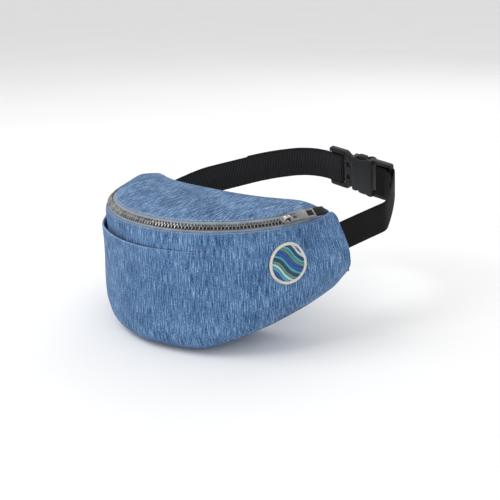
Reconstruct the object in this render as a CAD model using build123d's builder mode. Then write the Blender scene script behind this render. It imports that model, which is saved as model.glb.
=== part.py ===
"""Waist pack: a crescent-shaped denim bag with a metal zip along its top front edge, a webbing belt
and a side-release buckle. Millimetres, +Z up. The origin is on the wearer's waist axis, midway between
the two tips of the bag and level with the zip. -Y is the front of the bag, and the zip closes at +X."""

import os
from math import cos, radians, sin, tan

from build123d import *

os.makedirs("parts", exist_ok=True)

# ---- Driving dimensions -------------------------------------------------------------------------
BAG_DEPTH = 128.0        # zip plane down to the lowest point of the base
ZIP_R = 127.0            # plan radius of the zip chain
ZIP_Y = -24.7            # centre of the zip's arc, which is also the slider's hinge axis
FRONT_TOP_R = 132.5      # plan radius of the front wall at the zip plane
FRONT_LOW_R = 150.0      # and at the base
FRONT_LOW_Y = -13.7      # centre of the front wall's arc at the base
WAIST_TOP_R = 160.2      # plan radius of the hollow back wall at the zip plane
WAIST_TOP_Y = 100.2
WAIST_LOW_R = 194.6      # and at the base
WAIST_LOW_Y = 124.6
BASE_FLAT = 45.0         # half length of the flat middle of the base
BASE_RISE_R = 125.5      # radius that the base rises with towards each tip
CROWN_Z = 6.0            # height of the top panel's front edge above the zip plane
CROWN_SLOPE = 0.10       # rise of the top panel per millimetre towards its middle
TOP_EDGE_R = 121.5       # plan radius of the top panel's front edge
FRONT_EDGE_Z = -4.0      # height of the front panel's top edge

DENIM = 2.0              # two turned layers of denim
FACING = 1.2
LINING = 0.8
PADDING = 4.0
GAP = 0.1                # between neighbouring layers

POCKET_EDGE_Z = -22.5    # opening edge of the slip pocket
POCKET_START = -56.0     # plan angles of the pocket's two ends, about the zip's centre
POCKET_END = -168.0
POCKET_FACING_Z = -60.0
POCKET_BAG_Z = -96.0

TAPE = 0.8               # thickness of the zip tape
TAPE_DROP = 8.5          # tape hidden behind the front panel
TOOTH_H = 1.8
CHAIN_HALF = 3.3         # half width of the chain
ZIP_TILT = 35.0          # the chain and the slider lean out towards the front
CHAIN_SPLIT = 0.5        # half of the gap between the two rows of teeth
TAPE_RIGHT = -1.0        # plan angles of the two ends of the tape
TAPE_LEFT = -179.0
CHAIN_RIGHT = -14.0      # plan angles of the two ends of the chain
CHAIN_LEFT = -176.0
SLIDER_ANGLE = -21.0     # where the slider stands when the bag is closed

PATCH_D = 42.0
PATCH_ANGLE = -20.2
PATCH_Z = -40.0
PATCH_RIM = 2.6

WEBBING = 38.0           # width of the belt webbing
WEB_T = 2.0              # thickness of the belt webbing
BELT_Z = -31.2           # height of the belt's plane at the tips of the bag
BELT_PITCH = 14.0        # the belt rises towards the wearer's back
BELT_ROLL = 5.3          # and falls a little towards +X

BUCKLE_AT = (116.2, 142.6)   # end bar of the female half, in the belt's plane
BUCKLE_HEADING = 176.2       # direction from there to the male half
BUCKLE_W = 50.0
BUCKLE_T = 12.0

# ---- Frames --------------------------------------------------------------------------------------
belt_x = Vector(cos(radians(BELT_ROLL)), 0, -sin(radians(BELT_ROLL)))
belt_back = Vector(0, cos(radians(BELT_PITCH)), sin(radians(BELT_PITCH)))
belt_normal = belt_x.cross(belt_back).normalized()
belt_plane = Plane(origin=(0, 0, BELT_Z), x_dir=belt_x, z_dir=belt_normal)
buckle_origin = belt_plane.from_local_coords(Vector(*BUCKLE_AT, 0))
heading = radians(BUCKLE_HEADING)
buckle_axis = belt_plane.x_dir * cos(heading) + belt_plane.y_dir * sin(heading)

# In web_plane x runs along the buckle, y towards the wearer and z across the webbing.
web_plane = Plane(origin=buckle_origin, x_dir=buckle_axis, z_dir=belt_normal)
# In face_plane x runs along the buckle, y across the webbing and z away from the wearer.
face_plane = Plane(origin=buckle_origin, x_dir=buckle_axis, z_dir=web_plane.y_dir * -1)


def finish(part, name):
    """Label a finished piece and write its file."""
    part.label = name
    export_step(part, f"parts/{name}.step")


# ---- Envelopes that the soft panels are cut from -------------------------------------------------
def between(top, low, z):
    """Value at height z of a size that changes evenly from the zip plane to the base."""
    return top + (low - top) * -z / BAG_DEPTH


def round_wall(radii, centres, grow):
    """Slanted cone whose plan circles have the given sizes at the zip plane and at the base."""
    with BuildPart() as wall:
        for z in (-BAG_DEPTH - 12, 24):
            with BuildSketch(Plane.XY.offset(z)):
                with Locations((0, between(*centres, z))):
                    Circle(between(*radii, z) + grow)
        loft(ruled=True)
    return wall.part


def front_body(inset=0.0):
    return round_wall((FRONT_TOP_R, FRONT_LOW_R), (ZIP_Y, FRONT_LOW_Y), -inset)


def waist_body(inset=0.0):
    return round_wall((WAIST_TOP_R, WAIST_LOW_R), (WAIST_TOP_Y, WAIST_LOW_Y), inset)


def above_base(inset=0.0):
    """Everything above the base: flat in the middle, and rising in an arc to each tip."""
    low = inset - BAG_DEPTH
    rise = BASE_RISE_R - inset
    with BuildPart() as space:
        with BuildSketch(Plane.XZ):
            with BuildLine():
                Polyline((BASE_FLAT, low), (-BASE_FLAT, low))
                CenterArc((BASE_FLAT, low + rise), rise, -90, 90)
                CenterArc((-BASE_FLAT, low + rise), rise, 180, 90)
                Polyline(
                    (BASE_FLAT + rise, low + rise),
                    (BASE_FLAT + rise, 60),
                    (-BASE_FLAT - rise, 60),
                    (-BASE_FLAT - rise, low + rise),
                )
            make_face()
        extrude(amount=260, both=True)
    return space.part


def ring(points, start, end):
    """Solid turned about the zip's centre, from (radius, height) points, between two plan angles."""
    turn = Plane(origin=(0, ZIP_Y, 0), x_dir=(cos(radians(start)), sin(radians(start)), 0),
                 z_dir=(sin(radians(start)), -cos(radians(start)), 0))
    with BuildPart() as turned:
        with BuildSketch(turn):
            with BuildLine():
                Polyline(*points, close=True)
            make_face()
        revolve(axis=Axis((0, ZIP_Y, 0), (0, 0, 1)), revolution_arc=end - start)
    return turned.part


def below_crown(inset, radius):
    """Everything under the sloping top panel, out to a plan radius."""
    edge = CROWN_Z - inset + CROWN_SLOPE * (TOP_EDGE_R - radius)
    peak = CROWN_Z - inset + CROWN_SLOPE * TOP_EDGE_R
    return ring([(0, -200), (radius, -200), (radius, edge), (0, peak)], 0, 360)


def slab(low, high):
    """Horizontal slab that spans the whole bag."""
    with BuildPart() as space:
        with BuildSketch(Plane.XY.offset(low)):
            Rectangle(600, 600)
        extrude(amount=high - low)
    return space.part


def carve(base, remove=(), within=()):
    """The base without some solids, and only inside others."""
    with BuildPart() as piece:
        add(base)
        for tool in remove:
            add(tool, mode=Mode.SUBTRACT)
        for tool in within:
            add(tool, mode=Mode.INTERSECT)
    return piece.part


pocket_sector = ring([(60, -200), (200, -200), (200, 60), (60, 60)], POCKET_END, POCKET_START)

# ---- Belt webbing --------------------------------------------------------------------------------
MIDDLE_BAR = 73.5        # middle bar of the ladder lock, along the buckle
WRAP_R = 3.8             # centre of the webbing around a bar
LADDER_END = 89.0
OUTER_BAR = (84.0, LADDER_END)
TAIL_SIDE = WRAP_R - WEB_T - 0.3     # where the tail lies outside the ladder lock
HIP_R = 69.0             # the belt's bend at the wearer's left hip
HIP_TURN = 44.0
SIDE_R = 190.0           # its long curve along the wearer's side
SIDE_TURN = 17.0
TIP_RUN = 118.0          # and its straight run to the left tip of the bag
TAIL_DROP = 2.2          # straight stretch of the tail beside the middle bar
STRAP_HEADING = 121.4    # the right strap leaves the end bar in this direction
BACK_R = 486.6           # its slight curve behind the wearer's right side
BACK_TURN = -8.1
BEND_R = 14.5            # its sharp bend
BEND_TURN = -39.5
SEWN_RUN = 78.5          # and its straight run to the right tip of the bag
RETURN_LEAN = 4.2        # the folded end leans towards the strap that it is sewn to
RETURN_RUN = 30.0


def bearing(angle):
    """Unit direction in the belt's plane."""
    return Vector(cos(radians(angle)), sin(radians(angle)))


with BuildPart() as left_strap:
    with BuildSketch(web_plane):
        with BuildLine() as load_run:
            run = Line((MIDDLE_BAR, WRAP_R), (LADDER_END, WRAP_R))
            hip = JernArc(run @ 1, run % 1, HIP_R - WRAP_R, HIP_TURN)
            side = JernArc(hip @ 1, hip % 1, SIDE_R, SIDE_TURN)
            Line(side @ 1, side @ 1 + (side % 1) * TIP_RUN)
        trace(line_width=WEB_T)
        with BuildLine() as wrap:
            CenterArc((MIDDLE_BAR, 0), WRAP_R, 90, 180)
        trace(line_width=WEB_T)
        with BuildLine() as tail_run:
            over = Line((MIDDLE_BAR, -WRAP_R), (MIDDLE_BAR + TAIL_DROP, -WRAP_R))
            down = Line(over @ 1, (OUTER_BAR[0] - 1.0, TAIL_SIDE))
            out = Line(down @ 1, (LADDER_END, TAIL_SIDE))
            tail_hip = JernArc(out @ 1, out % 1, HIP_R - TAIL_SIDE, HIP_TURN)
            JernArc(tail_hip @ 1, tail_hip % 1, SIDE_R + WRAP_R - TAIL_SIDE + 0.1, SIDE_TURN)
        trace(line_width=WEB_T)
    extrude(amount=WEBBING / 2, both=True)
finish(left_strap.part, "left_strap")

with BuildPart() as right_strap:
    with BuildSketch(web_plane):
        with BuildLine() as bar_turn:
            turn = CenterArc((0, 0), WRAP_R, STRAP_HEADING + 90, 180)
        trace(line_width=WEB_T)
        with BuildLine() as outer_run:
            back = JernArc(turn @ 0, bearing(STRAP_HEADING), BACK_R, BACK_TURN)
            bend = JernArc(back @ 1, back % 1, BEND_R, BEND_TURN)
            Line(bend @ 1, bend @ 1 + (bend % 1) * SEWN_RUN)
        trace(line_width=WEB_T)
        with BuildLine() as return_run:
            Line(turn @ 1, turn @ 1 + bearing(STRAP_HEADING + RETURN_LEAN) * RETURN_RUN)
        trace(line_width=WEB_T)
    extrude(amount=WEBBING / 2, both=True)
finish(right_strap.part, "right_strap")

# ---- Soft panels of the bag ----------------------------------------------------------------------
waist_skin = waist_body(DENIM)
crown_peak = CROWN_Z + CROWN_SLOPE * TOP_EDGE_R
under_rim = ring(
    [(0, -200), (170, -200), (170, 1.0), (131.0, 1.0), (TOP_EDGE_R, CROWN_Z), (0, crown_peak)], 0, 360
)
pocket_mouth = carve(pocket_sector, within=[slab(POCKET_EDGE_Z, 80)])

front_panel = carve(
    front_body(),
    remove=[front_body(DENIM), waist_skin, slab(FRONT_EDGE_Z, 80), pocket_mouth],
    within=[above_base()],
)
finish(front_panel, "front_panel")

back_panel = carve(
    waist_skin,
    remove=[waist_body(), left_strap.part, right_strap.part],
    within=[front_body(), above_base(), under_rim],
)
finish(back_panel, "back_panel")

base_panel = carve(
    front_body(DENIM),
    remove=[waist_skin, above_base(DENIM), slab(FRONT_EDGE_Z, 80)],
    within=[above_base()],
)
finish(base_panel, "base_panel")

top_panel = carve(
    below_crown(0, TOP_EDGE_R),
    remove=[below_crown(DENIM, TOP_EDGE_R + 1), waist_skin],
    within=[slab(-2, 40)],
)
finish(top_panel, "top_panel")

pocket_facing = carve(
    front_body(DENIM + GAP),
    remove=[front_body(DENIM + FACING), waist_body(DENIM + GAP)],
    within=[pocket_sector, slab(POCKET_FACING_Z, FRONT_EDGE_Z)],
)
finish(pocket_facing, "pocket_facing")

pocket_inset = DENIM + FACING + GAP
pocket_bag = carve(
    front_body(pocket_inset),
    remove=[front_body(pocket_inset + LINING), waist_body(DENIM + GAP)],
    within=[pocket_sector, slab(POCKET_BAG_Z, POCKET_EDGE_Z), above_base(DENIM + GAP)],
)
finish(pocket_bag, "pocket_bag")

back_padding = carve(
    waist_body(DENIM + PADDING),
    remove=[waist_body(DENIM + GAP), left_strap.part, right_strap.part],
    within=[front_body(DENIM + 4.0), above_base(DENIM + GAP), slab(-200, -2)],
)
finish(back_padding, "back_padding")

LINING_INSET = 5.4       # clear of the tape behind the front panel
lining_space = carve(
    front_body(LINING_INSET + LINING),
    remove=[waist_body(DENIM + PADDING + GAP + LINING)],
    within=[above_base(DENIM + GAP + LINING)],
)
main_lining = carve(
    front_body(LINING_INSET),
    remove=[waist_body(DENIM + PADDING + GAP), lining_space],
    within=[above_base(DENIM + GAP), slab(-200, -3.5)],
)
finish(main_lining, "main_lining")

# ---- Zip: two tapes, two rows of teeth and their stops -------------------------------------------
half_tape = TAPE / 2
tape_in = ZIP_R - CHAIN_SPLIT
tape_out = ZIP_R + CHAIN_SPLIT
hem_in = 128.5           # where the front tape turns down behind the front panel
hem_out = hem_in + TAPE
tuck_r = 112.0           # how far the rear tape runs under the top panel
tuck_top = 4.4
fold_r = TOP_EDGE_R + 1.3    # where the leaning rear tape flattens out
fold_top = 3.4           # top of the rear tape where it passes under the top panel's edge


def leaning(points):
    """Section points turned about the middle of the chain, so that its outer side is lower."""
    tilt = radians(ZIP_TILT)
    return [
        (ZIP_R + (r - ZIP_R) * cos(tilt) + z * sin(tilt), (ZIP_R - r) * sin(tilt) + z * cos(tilt))
        for r, z in points
    ]


def tape_z(r, side):
    """Height of the leaning tape's upper (1) or lower (-1) face at a radius."""
    return (ZIP_R - r) * tan(radians(ZIP_TILT)) + side * half_tape / cos(radians(ZIP_TILT))


tape_front = ring(
    [
        *leaning([(tape_out, -half_tape)]),
        (hem_in, tape_z(hem_in, -1)),
        (hem_in, -TAPE_DROP),
        (hem_out, -TAPE_DROP),
        (hem_out, tape_z(hem_out, 1)),
        *leaning([(tape_out, half_tape)]),
    ],
    TAPE_LEFT,
    TAPE_RIGHT,
)
finish(tape_front, "zip_tape_front")

tape_rear = ring(
    [
        *leaning([(tape_in, half_tape)]),
        (fold_r, tape_z(fold_r, 1)),
        (TOP_EDGE_R, fold_top),
        (tuck_r, tuck_top),
        (tuck_r, tuck_top - TAPE),
        (TOP_EDGE_R, fold_top - TAPE),
        (fold_r - 0.2, tape_z(fold_r - 0.2, -1)),
        *leaning([(tape_in, -half_tape)]),
    ],
    TAPE_LEFT,
    TAPE_RIGHT,
)
finish(tape_rear, "zip_tape_rear")


def chain_row(inner, outer, start, end, height=TOOTH_H):
    """One row of the chain, standing on its tape."""
    low, high = half_tape, half_tape + height
    return ring(leaning([(inner, low), (outer, low), (outer, high), (inner, high)]), start, end)


finish(chain_row(tape_out, ZIP_R + CHAIN_HALF, CHAIN_LEFT, CHAIN_RIGHT), "zip_teeth_front")
finish(chain_row(ZIP_R - CHAIN_HALF, tape_in, CHAIN_LEFT, CHAIN_RIGHT), "zip_teeth_rear")

STOP_ARC = 1.0           # degrees of arc that a stop covers
with BuildPart() as top_stops:
    add(chain_row(tape_out, ZIP_R + 2.2, CHAIN_RIGHT + 0.3, CHAIN_RIGHT + 0.3 + STOP_ARC, 1.4))
    add(chain_row(ZIP_R - 2.2, tape_in, CHAIN_RIGHT + 0.3, CHAIN_RIGHT + 0.3 + STOP_ARC, 1.4))
finish(top_stops.part, "zip_top_stops")
bottom_stop = chain_row(ZIP_R - 2.6, ZIP_R + 2.6, CHAIN_LEFT - 0.3 - STOP_ARC, CHAIN_LEFT - 0.3, 1.6)
finish(bottom_stop, "zip_bottom_stop")

tab_in = TOP_EDGE_R + 0.2
tab_out = 130.2
with BuildPart() as end_tabs:
    for start, end in ((TAPE_RIGHT + 0.3, 9.0), (-189.0, TAPE_LEFT - 0.3)):
        add(ring([(tab_in, 2.4), (tab_out, -2.6), (tab_out, -0.6), (tab_in, 4.4)], start, end))
    add(waist_skin, mode=Mode.SUBTRACT)
finish(end_tabs.part, "zip_end_tabs")

# ---- Slider and pull -----------------------------------------------------------------------------
# In slider_plane x runs along the zip towards its closed end, y towards the top panel and z up.
slider_turn = radians(SLIDER_ANGLE)
slider_tilt = radians(ZIP_TILT)
slider_plane = Plane(
    origin=(ZIP_R * cos(slider_turn), ZIP_Y + ZIP_R * sin(slider_turn), 0),
    x_dir=(-sin(slider_turn), cos(slider_turn), 0),
    z_dir=(cos(slider_turn) * sin(slider_tilt), sin(slider_turn) * sin(slider_tilt), cos(slider_tilt)),
)
SLIDER_L = 15.0
SLIDER_W = 11.0
PLATE_LOW = 3.0          # underside of the upper plate
PLATE_TOP = 4.2
LOWER_W = 2.6            # lower plate, between the two turned tapes
POST_T = 0.6             # the wedge that runs between the two rows of teeth
BRIDGE_W = 3.0
BRIDGE_L = 10.0
WINDOW_L = 6.8
WINDOW_TOP = 6.6
BRIDGE_TOP = 8.0
PIN_X = 2.3              # the pull's cross bar, inside the bridge
PIN_Z = 5.4
PIN_R = 0.7

with BuildPart() as slider_body:
    with BuildSketch(slider_plane.offset(PLATE_LOW)):
        RectangleRounded(SLIDER_L, SLIDER_W, 2.4)
    extrude(amount=PLATE_TOP - PLATE_LOW)
    with BuildSketch(slider_plane.offset(-2.6)):
        RectangleRounded(SLIDER_L, LOWER_W, 1.0)
    extrude(amount=1.2)
    with BuildSketch(slider_plane.offset(-2.0)):
        with Locations((-SLIDER_L / 2 + 4.0, 0)):
            Rectangle(3.0, POST_T)
    extrude(amount=PLATE_LOW + 2.4)
finish(slider_body.part, "slider_body")

crown_axis = Axis((0, 0, 0), slider_plane.z_dir)
with BuildPart() as slider_bridge:
    with BuildSketch(slider_plane.offset(PLATE_TOP)):
        Rectangle(BRIDGE_L, BRIDGE_W)
    extrude(amount=BRIDGE_TOP - PLATE_TOP)
    with BuildSketch(slider_plane.offset(PLATE_TOP)):
        Rectangle(WINDOW_L, BRIDGE_W)
    extrude(amount=WINDOW_TOP - PLATE_TOP, mode=Mode.SUBTRACT)
    fillet(slider_bridge.faces().sort_by(crown_axis)[-1].edges().filter_by(GeomType.LINE), 0.6)
finish(slider_bridge.part, "slider_bridge")

PULL_END = 44.0
PULL_W = 10.5
PULL_T = 1.4
ARM_W = 2.0              # each side bar of the pull
LOOP_END = 10.4
WINDOW_START = 22.6
WINDOW_END = 30.0
with BuildPart() as pull_tab:
    with BuildSketch(slider_plane.offset(PIN_Z - PULL_T / 2)):
        with Locations(((PIN_X - PIN_R + PULL_END) / 2, 0)):
            Rectangle(PULL_END - PIN_X + PIN_R, PULL_W)
        for start, end in ((PIN_X - PIN_R - 1, LOOP_END), (WINDOW_START, WINDOW_END)):
            with Locations(((start + end) / 2, 0)):
                Rectangle(end - start, PULL_W - 2 * ARM_W, mode=Mode.SUBTRACT)
    extrude(amount=PULL_T)
    with Locations(Plane(origin=slider_plane.from_local_coords(Vector(PIN_X, 0, PIN_Z)),
                         x_dir=slider_plane.x_dir, z_dir=slider_plane.y_dir)):
        Cylinder(PIN_R, PULL_W - 1.0)
finish(pull_tab.part, "pull_tab")

# ---- Embroidered patch on the front wall ---------------------------------------------------------
patch_turn = radians(PATCH_ANGLE)
patch_centre_y = between(ZIP_Y, FRONT_LOW_Y, PATCH_Z)
patch_axis = Plane(
    origin=(100 * cos(patch_turn), patch_centre_y + 100 * sin(patch_turn), PATCH_Z),
    x_dir=(-sin(patch_turn), cos(patch_turn), 0),
    z_dir=(cos(patch_turn), sin(patch_turn), 0),
)


def patch_disc(outer, inner, low, high):
    """Part of a round patch that follows the front wall, between two heights above the cloth."""
    with BuildPart() as disc:
        with BuildSketch(patch_axis):
            Circle(outer)
            if inner:
                Circle(inner, mode=Mode.SUBTRACT)
        extrude(amount=60)
        add(front_body(-high), mode=Mode.INTERSECT)
        add(front_body(-low), mode=Mode.SUBTRACT)
    return disc.part


finish(patch_disc(PATCH_D / 2 - PATCH_RIM, 0, 0.05, 0.9), "patch_base")
finish(patch_disc(PATCH_D / 2, PATCH_D / 2 - PATCH_RIM + 0.05, 0.05, 1.8), "patch_border")
finish(patch_disc(PATCH_D / 2 - PATCH_RIM - 0.6, 0, 0.95, 1.5), "patch_embroidery")

# ---- Side-release buckle -------------------------------------------------------------------------
HOUSING_START = 24.0
HOUSING_END = 54.0
CAVITY_W = 36.0
CAVITY_T = 7.2
WINDOW_X = (31.0, 47.0)      # side windows that the latch buttons stand out of
FRAME_T = 6.0
RAIL = 5.0                   # width of each side rail around the webbing
BAR_R = 2.4


def face_box(x_range, y_range, thickness, centre=0.0):
    """Plate of the buckle, from ranges along it and across it."""
    with BuildPart() as plate:
        with BuildSketch(face_plane.offset(centre - thickness / 2)):
            with Locations(((x_range[0] + x_range[1]) / 2, (y_range[0] + y_range[1]) / 2)):
                Rectangle(x_range[1] - x_range[0], y_range[1] - y_range[0])
        extrude(amount=thickness)
    return plate.part


half_w = BUCKLE_W / 2
with BuildPart() as female_housing:
    with BuildSketch(face_plane.offset(-BUCKLE_T / 2)):
        with Locations(((HOUSING_START + HOUSING_END) / 2, 0)):
            RectangleRounded(HOUSING_END - HOUSING_START, BUCKLE_W, 3.0)
    extrude(amount=BUCKLE_T)
    add(face_box((-1.5, HOUSING_START + 2), (half_w - RAIL, half_w), FRAME_T))
    add(face_box((-1.5, HOUSING_START + 2), (-half_w, RAIL - half_w), FRAME_T))
    with Locations(Plane(origin=buckle_origin, x_dir=buckle_axis, z_dir=belt_normal)):
        Cylinder(BAR_R, BUCKLE_W)
    cavity = face_box((HOUSING_START + 3, HOUSING_END + 1), (-CAVITY_W / 2, CAVITY_W / 2), CAVITY_T)
    add(cavity, mode=Mode.SUBTRACT)
    for side in (-1, 1):
        edge = sorted((side * (CAVITY_W / 2 - 1), side * (half_w + 1)))
        add(face_box(WINDOW_X, edge, BUCKLE_T + 2), mode=Mode.SUBTRACT)
finish(female_housing.part, "buckle_female")

SHOULDER = (54.6, 66.0)
SLOT_INNER = (66.0, 71.4)
SLOT_OUTER = (75.6, 83.0)
HINGE_X = 53.0
HINGE_Y = 12.5
SOCKET_R = 2.1
with BuildPart() as male_frame:
    with BuildSketch(face_plane.offset(-FRAME_T / 2)):
        with Locations(((SHOULDER[0] + LADDER_END) / 2, 0)):
            RectangleRounded(LADDER_END - SHOULDER[0], BUCKLE_W + 2, 3.0)
        for slot in (SLOT_INNER, (SLOT_INNER[1], SLOT_OUTER[0]), (SLOT_OUTER[0], LADDER_END + 4)):
            with Locations(((slot[0] + slot[1]) / 2, 0)):
                Rectangle(slot[1] - slot[0], WEBBING + 2, mode=Mode.SUBTRACT)
    extrude(amount=FRAME_T)
    add(face_box((SLOT_INNER[1] + 0.3, SLOT_OUTER[0] - 0.3), (2 - half_w, half_w - 2), 3.2))
    add(face_box(OUTER_BAR, (2 - half_w, half_w - 2), 3.6, centre=2.4))
    for side in (-1, 1):
        with BuildSketch(face_plane.offset(-BUCKLE_T / 2)):
            with Locations((HINGE_X, side * HINGE_Y)):
                Circle(SOCKET_R)
        extrude(amount=BUCKLE_T, mode=Mode.SUBTRACT)
finish(male_frame.part, "buckle_male")

with BuildPart() as guide_tongue:
    add(face_box((30.0, SHOULDER[0] - 0.05), (-4.0, 4.0), 5.2))
    fillet(guide_tongue.edges().filter_by(Axis((0, 0, 0), face_plane.z_dir)), 1.2)
finish(guide_tongue.part, "buckle_tongue")

ARM_T = 6.4
for name, side in (("latch_arm_upper", 1), ("latch_arm_lower", -1)):
    with BuildPart() as latch_arm:
        with BuildSketch(face_plane.offset(-ARM_T / 2)):
            with BuildLine():
                Polyline(
                    (HINGE_X, side * (HINGE_Y + 1.6)),
                    (WINDOW_X[1] - 0.4, side * 16.5),
                    (WINDOW_X[1] - 0.4, side * (half_w + 1.0)),
                    (WINDOW_X[0] + 4.0, side * (half_w + 1.0)),
                    (WINDOW_X[0] + 0.4, side * (half_w - 2.0)),
                    (WINDOW_X[0] + 0.4, side * 14.0),
                    (HINGE_X, side * (HINGE_Y - 1.6)),
                    close=True,
                )
            make_face()
            with Locations((HINGE_X, side * HINGE_Y)):
                Circle(1.6)
        extrude(amount=ARM_T)
    finish(latch_arm.part, name)
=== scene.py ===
"""Looks of the waist pack: denim bag, curved metal zip, patch, webbing belt and side-release buckle.
Shapes are worked out in the pack's own millimetres, and each mesh is written in metres."""

import math
import random

import bmesh
import bpy
import numpy as np
from mathutils import Matrix, Vector, noise


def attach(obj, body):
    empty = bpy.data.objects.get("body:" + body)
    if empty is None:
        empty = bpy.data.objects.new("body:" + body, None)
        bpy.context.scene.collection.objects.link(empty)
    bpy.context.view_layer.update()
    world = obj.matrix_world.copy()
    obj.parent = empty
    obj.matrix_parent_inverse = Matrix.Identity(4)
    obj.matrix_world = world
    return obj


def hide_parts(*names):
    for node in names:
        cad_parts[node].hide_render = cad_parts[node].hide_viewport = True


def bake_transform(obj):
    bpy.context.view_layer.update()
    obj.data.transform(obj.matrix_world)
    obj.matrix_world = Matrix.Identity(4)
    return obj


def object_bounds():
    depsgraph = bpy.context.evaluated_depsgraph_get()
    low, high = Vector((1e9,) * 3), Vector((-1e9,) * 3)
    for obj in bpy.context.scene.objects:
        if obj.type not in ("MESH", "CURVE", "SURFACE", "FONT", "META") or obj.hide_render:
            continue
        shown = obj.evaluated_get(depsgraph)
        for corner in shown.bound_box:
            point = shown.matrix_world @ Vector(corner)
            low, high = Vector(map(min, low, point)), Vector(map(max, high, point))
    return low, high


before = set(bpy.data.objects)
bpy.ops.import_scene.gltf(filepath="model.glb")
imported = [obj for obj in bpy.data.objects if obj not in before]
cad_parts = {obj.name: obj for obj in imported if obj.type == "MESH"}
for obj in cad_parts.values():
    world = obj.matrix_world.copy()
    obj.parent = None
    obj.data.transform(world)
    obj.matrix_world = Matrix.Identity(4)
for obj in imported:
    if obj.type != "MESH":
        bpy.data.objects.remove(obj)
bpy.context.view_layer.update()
MM = 0.001
random.seed(11)

# ---- Driving dimensions, in millimetres ----
BAG_DEPTH = 128.0
ZIP_R = 127.0                        # plan radius of the zip chain
ZIP_Y = -24.7                        # centre of the zip's arc
ZIP_TILT = 35.0                      # the chain and the slider lean out towards the front
FRONT_R = (132.5, 150.0)             # front wall at the zip plane and at the base
FRONT_Y = (-24.7, -13.7)
WAIST_R = (160.2, 194.6)             # hollow back wall
WAIST_Y = (100.2, 124.6)
BASE_FLAT = 45.0
BASE_RISE_R = 125.5
BASE_SAG = 5.5                       # the filled bag hangs this much below the CAD base
HEM_Z = -4.0                         # top edge of the front panel
CROWN_Z = 6.2                        # front edge of the top panel
CROWN_SLOPE = 0.10
TOP_EDGE_R = 121.5
TIP_R = 4.0                          # the two walls meet in a soft edge of this radius
TIP_REACH = (7.0, 15.0)              # and the filled left and right tips stand out this much further
TIP_DROOP = (12.0, 17.0)             # the top surfaces fall this much towards the left and right tip
TIP_CURL = 9.0                       # the lowest corner of each tip is rounded up by this much
LEFT_LEAN = 4.5                      # the top of the left end leans in by this much
LEFT_FALL = 11.5                     # and falls by this much
MOUTH_Z = -22.5                      # opening edge of the slip pocket
MOUTH = (-78.0, 34.0)                # and its two ends, as turns from the middle of the front
FRONT_CORNER = 22.0                  # rounding between the front and the base
BACK_CORNER = 11.0
ARC_SHARE = 0.95                     # share of each half of the outline that lies on the plain arc
FRONT_HALF_TURN = 103.0              # and how far that arc turns, at the zip, from the middle to a tip
CLOTH = 1.7
STITCH_AT = 3.4                      # stitching lies in a dip this far from a turned edge
CAP_TURN = 87.5                      # the caps over the tape's ends begin at this turn from the middle
CAP_R = 114.0                        # and at this distance from the zip's centre, under the top panel

PATCH_TURN = 69.8
PATCH_Z = -40.0
PATCH_R = 21.0
PATCH_WALL_R = 138.0                 # plan radius of the front wall behind the patch

WEB_W = 38.0
WEB_T = 1.8
BUCKLE_W = 50.0


# ---- Small helpers ----
def lerp(a, b, t):
    return a + (b - a) * t


def smoothstep(a, b, x):
    t = min(1.0, max(0.0, (x - a) / (b - a)))
    return t * t * (3 - 2 * t)


def hump(x, width, at=0.0):
    """Bell curve of height 1."""
    return np.exp(-((x - at) / width) ** 2)


def unit(v):
    v = np.array(v, float)
    return v / np.linalg.norm(v)


def wobble(x, y, z, size, seed=0.0):
    """Smooth seeded noise, about -1 to 1, with lumps of the given size."""
    return noise.noise(Vector((x / size + seed, y / size - seed, z / size + 2.0 * seed)))


def settle(p):
    """The left end of the bag, slumped: its top leans in and falls towards the tip."""
    x, y, z = p
    near = 1 - smoothstep(25.0, 60.0, y)
    lean = LEFT_LEAN * smoothstep(-75.0, -135.0, x) * smoothstep(-75.0, -4.0, z) * near
    fall = (LEFT_FALL * smoothstep(-80.0, -135.0, x) * smoothstep(-64.0, 6.0, y)
            * smoothstep(-60.0, -4.0, z) * near)
    return x + lean, y, z - fall


def mesh_object(name, verts, faces, material, smooth=True, uv=None):
    """Object from points in millimetres. uv gives each point its place on the flat cloth, in metres."""
    mesh = bpy.data.meshes.new(name)
    points = [tuple(float(c) * MM for c in settle(v)) for v in verts]
    mesh.from_pydata(points, [], [tuple(f) for f in faces])
    mesh.update()
    obj = bpy.data.objects.new(name, mesh)
    bpy.context.scene.collection.objects.link(obj)
    mesh.materials.append(material)
    if uv is not None:
        layer = mesh.uv_layers.new(name="cloth")
        index = np.zeros(len(mesh.loops), np.int32)
        mesh.loops.foreach_get("vertex_index", index)
        layer.data.foreach_set("uv", (np.array(uv, float)[index]).astype(np.float32).ravel())
    mesh.polygons.foreach_set("use_smooth", [smooth] * len(mesh.polygons))
    return obj


def grid_faces(rows, cols, wrap=False):
    """Faces between neighbouring points of a grid. wrap joins its last column to its first."""
    faces = []
    for i in range(rows - 1):
        for j in range(cols if wrap else cols - 1):
            k = (j + 1) % cols
            faces.append((i * cols + j, (i + 1) * cols + j, (i + 1) * cols + k, i * cols + k))
    return faces


def loft_faces(rings, sides):
    """Faces of a closed bar made of rings of points."""
    faces = [(a, d, c, b) for a, b, c, d in grid_faces(rings, sides, wrap=True)]
    return faces + [tuple(range(sides - 1, -1, -1)), tuple(range((rings - 1) * sides, rings * sides))]


def running_length(points):
    """Distance along a line, from its first point to each of its points."""
    return np.concatenate([[0], np.cumsum(np.linalg.norm(np.diff(points, axis=0), axis=1))])


def point_at(at, places, points):
    """Point of a line where a rising measure of its points, such as distance, has a value."""
    return np.array([np.interp(at, places, points[:, axis]) for axis in range(3)])


def grid_normals(points):
    """Outward unit normals of a grid whose rows run down and whose columns run to the right."""
    down = np.gradient(points, axis=0)
    along = np.gradient(points, axis=1)
    n = np.cross(down, along)
    length = np.linalg.norm(n, axis=2, keepdims=True)
    return n / np.maximum(length, 1e-9)


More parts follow.
